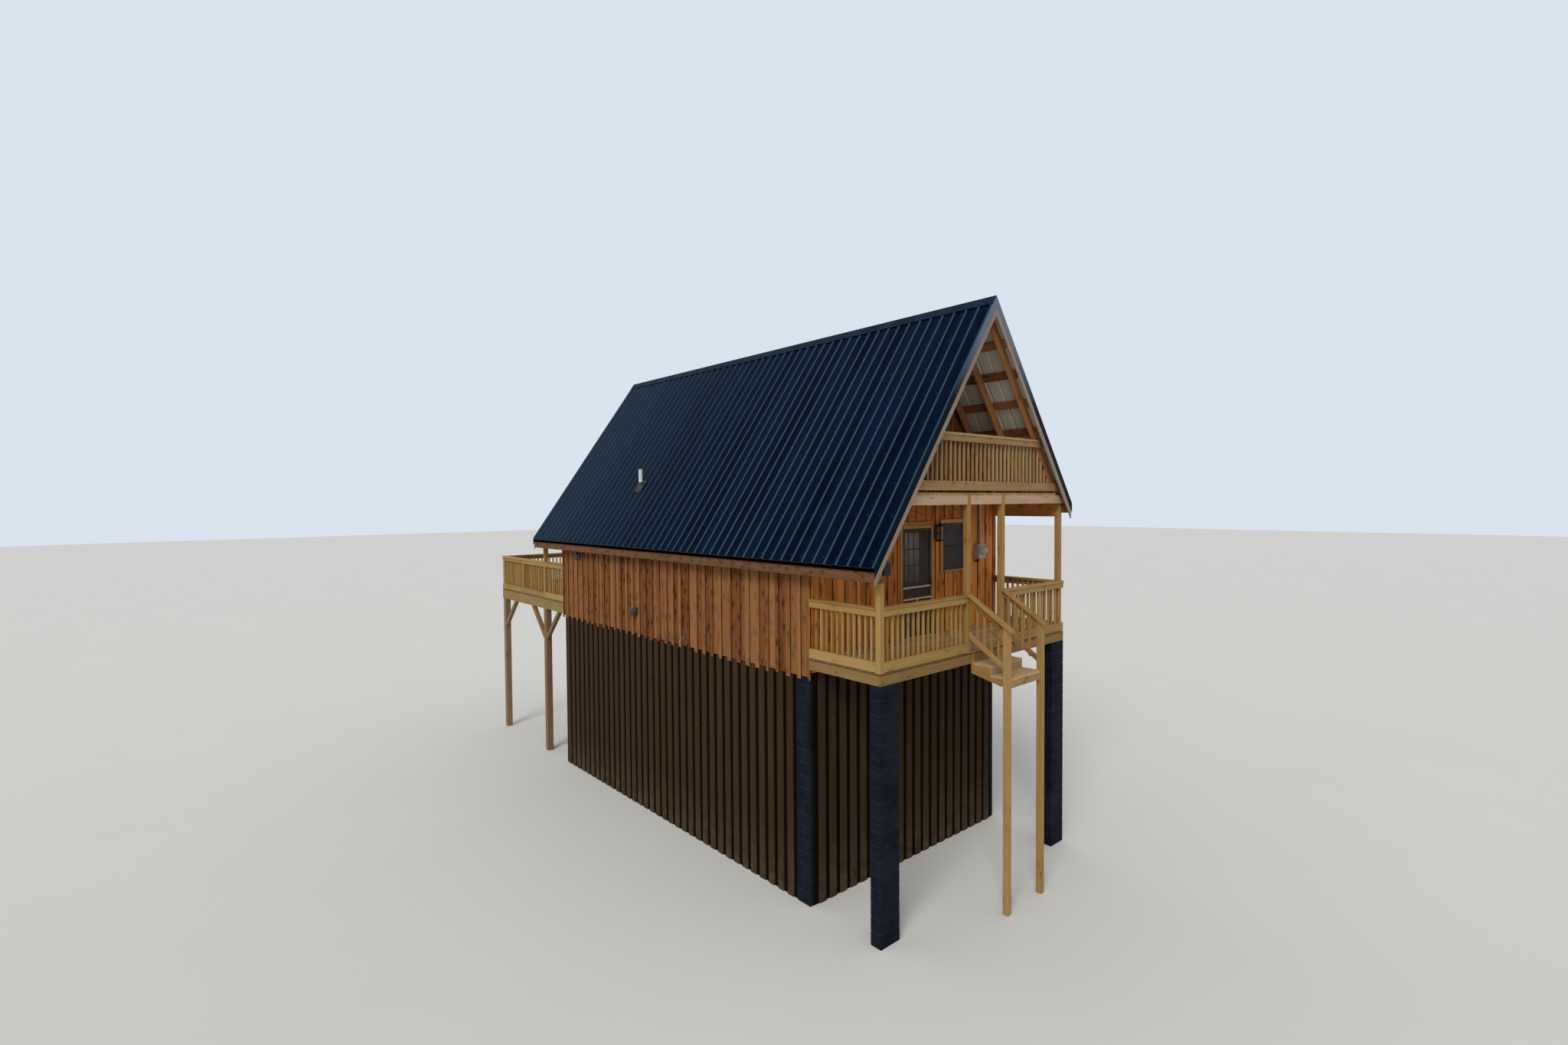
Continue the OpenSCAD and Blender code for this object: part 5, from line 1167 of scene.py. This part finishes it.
def makeVentHood():                            # a sloping hood on the left wall, with louvres under its lip
    mesh = bmesh.new()
    wall, low, head = -cabin["half"], hood["foot"], hood["foot"] + hood["wide"]
    y0, y1 = hood["y"] - hood["wide"] / 2, hood["y"] + hood["wide"] / 2
    addBox(mesh, (wall - 0.006, y0, low), (wall + 0.022, y1, head))
    for v in addBox(mesh, (wall - hood["out"], y0 + 0.008, low + 0.006), (wall - 0.006, y1 - 0.008, head - 0.006)):
        if v.co.x < wall - 0.05 and v.co.z > low + 0.05:
            v.co.x += 0.050
            v.co.z -= 0.012
    easeEdges(mesh, 0.004, 2)
    for i in range(hood["louvres"]):
        x, z = wall - hood["out"] - 0.005 + i * 0.012, low + 0.022 + i * 0.030
        addBox(mesh, (x, y0 + 0.014, z), (x + 0.022, y1 - 0.014, z + 0.004))
    placePiece(mesh, "vent_hood", paint["bootBlack"])


# the garden tap's flange, barrel, stem, wheel, spout and lip: distance out and height of both ends, radii, sides
tap = {"y": 4.725, "z": 3.600,
       "rods": ((0.002, 0, 0.014, 0, 0.030, 0.030, 24), (0.010, 0, 0.080, 0, 0.013, 0.013, 16),
                (0.066, -0.008, 0.066, 0.040, 0.011, 0.011, 16), (0.066, 0.038, 0.066, 0.052, 0.027, 0.024, 12),
                (0.072, 0.004, 0.100, -0.048, 0.013, 0.012, 16), (0.0985, -0.045, 0.104, -0.056, 0.016, 0.016, 16))}


def makeGardenTap():
    mesh = bmesh.new()
    for out0, up0, out1, up1, r0, r1, sides in tap["rods"]:
        addRod(mesh, (-cabin["half"] - out0, tap["y"], tap["z"] + up0),
               (-cabin["half"] - out1, tap["y"], tap["z"] + up1), r0, r1, sides)
    easeEdges(mesh, 0.0012)
    placePiece(mesh, "garden_tap", paint["tapMetal"])


# block piers: courses of blocks over a core that stands back in the joints
blocks = {"course": 0.2, "joint": 0.008, "inset": 0.007, "wide": 0.35}


def makePiers():
    source = Pile(51, cadNodes["block_piers"].data)
    boxes = [[[f(v.co[i] for v in island) for i in range(3)] for f in (min, max)] for island in islandsOf(source.mesh)]
    source.mesh.free()
    mesh, joints = bmesh.new(), bmesh.new()
    inset, half = blocks["inset"], blocks["joint"] / 2
    for low, high in sorted(boxes):
        count = round((high[2] - low[2]) / blocks["course"])
        step = (high[2] - low[2]) / count
        addBox(joints, (low[0] + inset, low[1] + inset, low[2]), (high[0] - inset, high[1] - inset, high[2]))
        for i in range(count):
            z0 = low[2] + i * step + (half if i else 0)
            z1 = low[2] + (i + 1) * step - (half if i < count - 1 else 0)
            if high[0] - low[0] > blocks["wide"]:      # one wide block fills the course
                addBox(mesh, (low[0], low[1], z0), (high[0], high[1], z1))
                continue
            axis = i % 2                       # two blocks side by side, turned in every other course
            middle = (low[axis] + high[axis]) / 2
            for start, end in ((low[axis], middle - half), (middle + half, high[axis])):
                a, b = [low[0], low[1], z0], [high[0], high[1], z1]
                a[axis], b[axis] = start, end
                addBox(mesh, a, b)
    easeEdges(mesh, 0.004)
    placePiece(mesh, "pier_blocks", paint["blockPaint"], ("block_piers",), moved=False)
    placePiece(joints, "pier_mortar", paint["mortar"], moved=False)


# roof and skirting screws beside the ribs, and deck screws over the joists
screws = {"rib": 0.2286, "ribs": 49, "firstRib": 0.0486, "besideRib": 0.045,
          "firstPurlin": 0.14, "purlinPitch": 0.55, "purlin": 0.14, "eaveSpace": 0.04,
          "skirtFoot": 0.12, "skirtPitch": 0.66, "skirtRows": 6, "deckBoard": 0.146, "joistPitch": 0.61}


def addScrew(mesh, at, out, foot, tall, radius):       # a washer and a six-sided head
    addRod(mesh, at, at + out * 0.0022, 0.0085, 0.0075, 8)
    addRod(mesh, at + out * foot, at + out * tall, radius, 0.0048, 6)


def makeRoofScrews():
    mesh = bmesh.new()
    for side, reach in ((-1, cabin["leftReach"]), (1, cabin["rightReach"])):
        pitch = math.atan(slopeOf(side))
        last = reach / math.cos(pitch) - screws["eaveSpace"] - screws["purlin"]
        rows = []
        down = screws["firstPurlin"]
        while down < last - 2 * screws["purlin"] + 1e-6:
            rows.append(down)
            down += screws["purlinPitch"]
        rows.append(last)
        out = Vector((side * math.sin(pitch), 0, math.cos(pitch)))
        for row in rows:
            s = row + screws["purlin"] / 2
            for i in range(screws["ribs"]):
                y = cabin["roofFront"] + screws["firstRib"] + i * screws["rib"] + screws["besideRib"]
                at = Vector((cabin["ridgeX"] + side * s * math.cos(pitch), min(y, cabin["roofRear"] - 0.012),
                             cabin["ridge"] - s * math.sin(pitch)))
                addScrew(mesh, at, out, 0.002, 0.0085, 0.0052)
    placePiece(mesh, "roof_screws", paint["screwSteel"])


def makeSkirtScrews():                         # each side's screws stand in its own middle ribs
    mesh = bmesh.new()
    core, rib = cabin["core"], skirtSteel["rib"]
    y0, y1 = coreFront + rib, coreRear - rib
    ends = [(Vector((0, y0 - rib, 0)), Vector((0, -1, 0)), Vector((1, 0, 0)), 2 * (core - 0.07), None),
            (Vector((0, y1 + rib - 0.006, 0)), Vector((0, 1, 0)), Vector((1, 0, 0)), 2 * (core - rib - 0.0063), None)]
    sides = [(Vector((side * core, 0, 0)), Vector((side, 0, 0)), Vector((0, -1, 0)), y1 - (y0 + 0.2966), y1)
             for side in (-1, 1)]
    for spot, out, way, length, first in sides + ends:
        count = math.floor((length - 0.15) / screws["rib"])
        margin = (length - count * screws["rib"]) / 2
        begin = spot + (Vector((0, first, 0)) if first else -way * length / 2) + way * margin
        for i in range(count + 1):
            for k in range(screws["skirtRows"]):
                up = Vector((0, 0, screws["skirtFoot"] + k * screws["skirtPitch"]))
                addScrew(mesh, begin + way * (i * screws["rib"]) + up, out, 0.0, 0.0080, 0.0050)
    placePiece(mesh, "skirting_screws", paint["brownScrew"])


def makeDeckScrews():
    mesh = bmesh.new()
    edge = cabin["half"] - cabin["board"] / 2
    for y0, y1 in ((0, coreFront), (coreRear, cabin["farEnd"])):
        count = math.floor((y1 - y0 + 0.006) / screws["deckBoard"])
        step = (y1 - y0 + 0.006) / count
        for i in range(count):
            for x in spread(-edge, edge, screws["joistPitch"]):
                for dy in (0.030, step - 0.036):
                    at = Vector((x, y0 + i * step + dy, cabin["deck"]))
                    addRod(mesh, at - Vector((0, 0, 0.001)), at + Vector((0, 0, 0.0008)), 0.0048, 0.0044, 8)
    placePiece(mesh, "deck_screws", paint["brownScrew"])


makeLanterns()
makeMeter()
makeJunctionBox()
makeRoofPipe()
makeVentHood()
makeGardenTap()
makePiers()
makeRoofScrews()
makeSkirtScrews()
makeDeckScrews()
print("lamps, meter, vents, piers and screws made")

# finishes on the nodes that stay
kept = (
    (wallInside, ("left_wall", "right_wall", "front_wall_left", "front_wall_right", "front_wall_over_door",
                  "rear_wall", "gable_walls")),
    (floorInside, ("house_floor",)), (loftInside, ("loft_floor",)), (roofFinish, ("roof_sheets",)),
    (capFinish, ("ridge_cap",)), (trimFinish, ("rake_trims",)), (skirtPaint, ("skirting",)),
    (paint["doorPaint"], ("front_door",)), (doorPanes, ("front_door_glass",)), (darkPane, ("window_panes",)),
    (screenCloth, ("screen_mesh",)),
)
for finish, nodes in kept:
    for node in nodes:
        slots = cadNodes[node].data.materials
        slots.clear()
        slots.append(finish)


# floor, backdrop and light
studio = {"size": 150, "floor": (0.70, 0.69, 0.66), "sky": (0.70, 0.77, 0.86), "fill": (0.93, 0.96, 1.0),
          "ambient": 0.60, "sun": 1.7, "sunTint": (1.0, 0.97, 0.92), "sunSize": 24, "sunTilt": 52, "sunTurn": -62}


def makeFloor(look):
    mesh = bmesh.new()
    bmesh.ops.create_grid(mesh, x_segments=1, y_segments=1, size=look["size"])
    data = bpy.data.meshes.new("studioFloor")
    mesh.to_mesh(data)
    mesh.free()
    floor = bpy.data.objects.new("studioFloor", data)
    scene.collection.objects.link(floor)
    material, shader, place = newFinish("studioFloor")
    feed(shader, "Base Color", place.blend(place.noise(0.4, 4), look["floor"], scaled(look["floor"], 0.96)))
    feed(shader, "Roughness", 0.9)
    data.materials.append(material)


def makeLight(look):
    world = bpy.data.worlds.new("studioWorld")
    world.use_nodes = True
    scene.world = world
    background = world.node_tree.nodes["Background"]
    rays = Wire(world.node_tree, None).node("LightPath", {}, {})
    outputs = rays.socket.node.outputs
    direct, mirrored, through = (Wire(rays.tree, outputs["Is %s Ray" % kind])
                                 for kind in ("Camera", "Glossy", "Transmission"))
    seen = (direct + mirrored + through).clamp()
    feed(background, "Color", rays.blend(seen, look["fill"], look["sky"]))
    feed(background, "Strength", look["ambient"] + seen * (1 - look["ambient"]))

    sun = bpy.data.lights.new("softKey", "SUN")
    sun.energy = look["sun"]
    sun.angle = math.radians(look["sunSize"])
    sun.color = look["sunTint"]
    lamp = bpy.data.objects.new("softKey", sun)
    lamp.rotation_euler = (math.radians(look["sunTilt"]), 0, math.radians(look["sunTurn"]))
    scene.collection.objects.link(lamp)


makeFloor(studio)
makeLight(studio)
print("studio set")
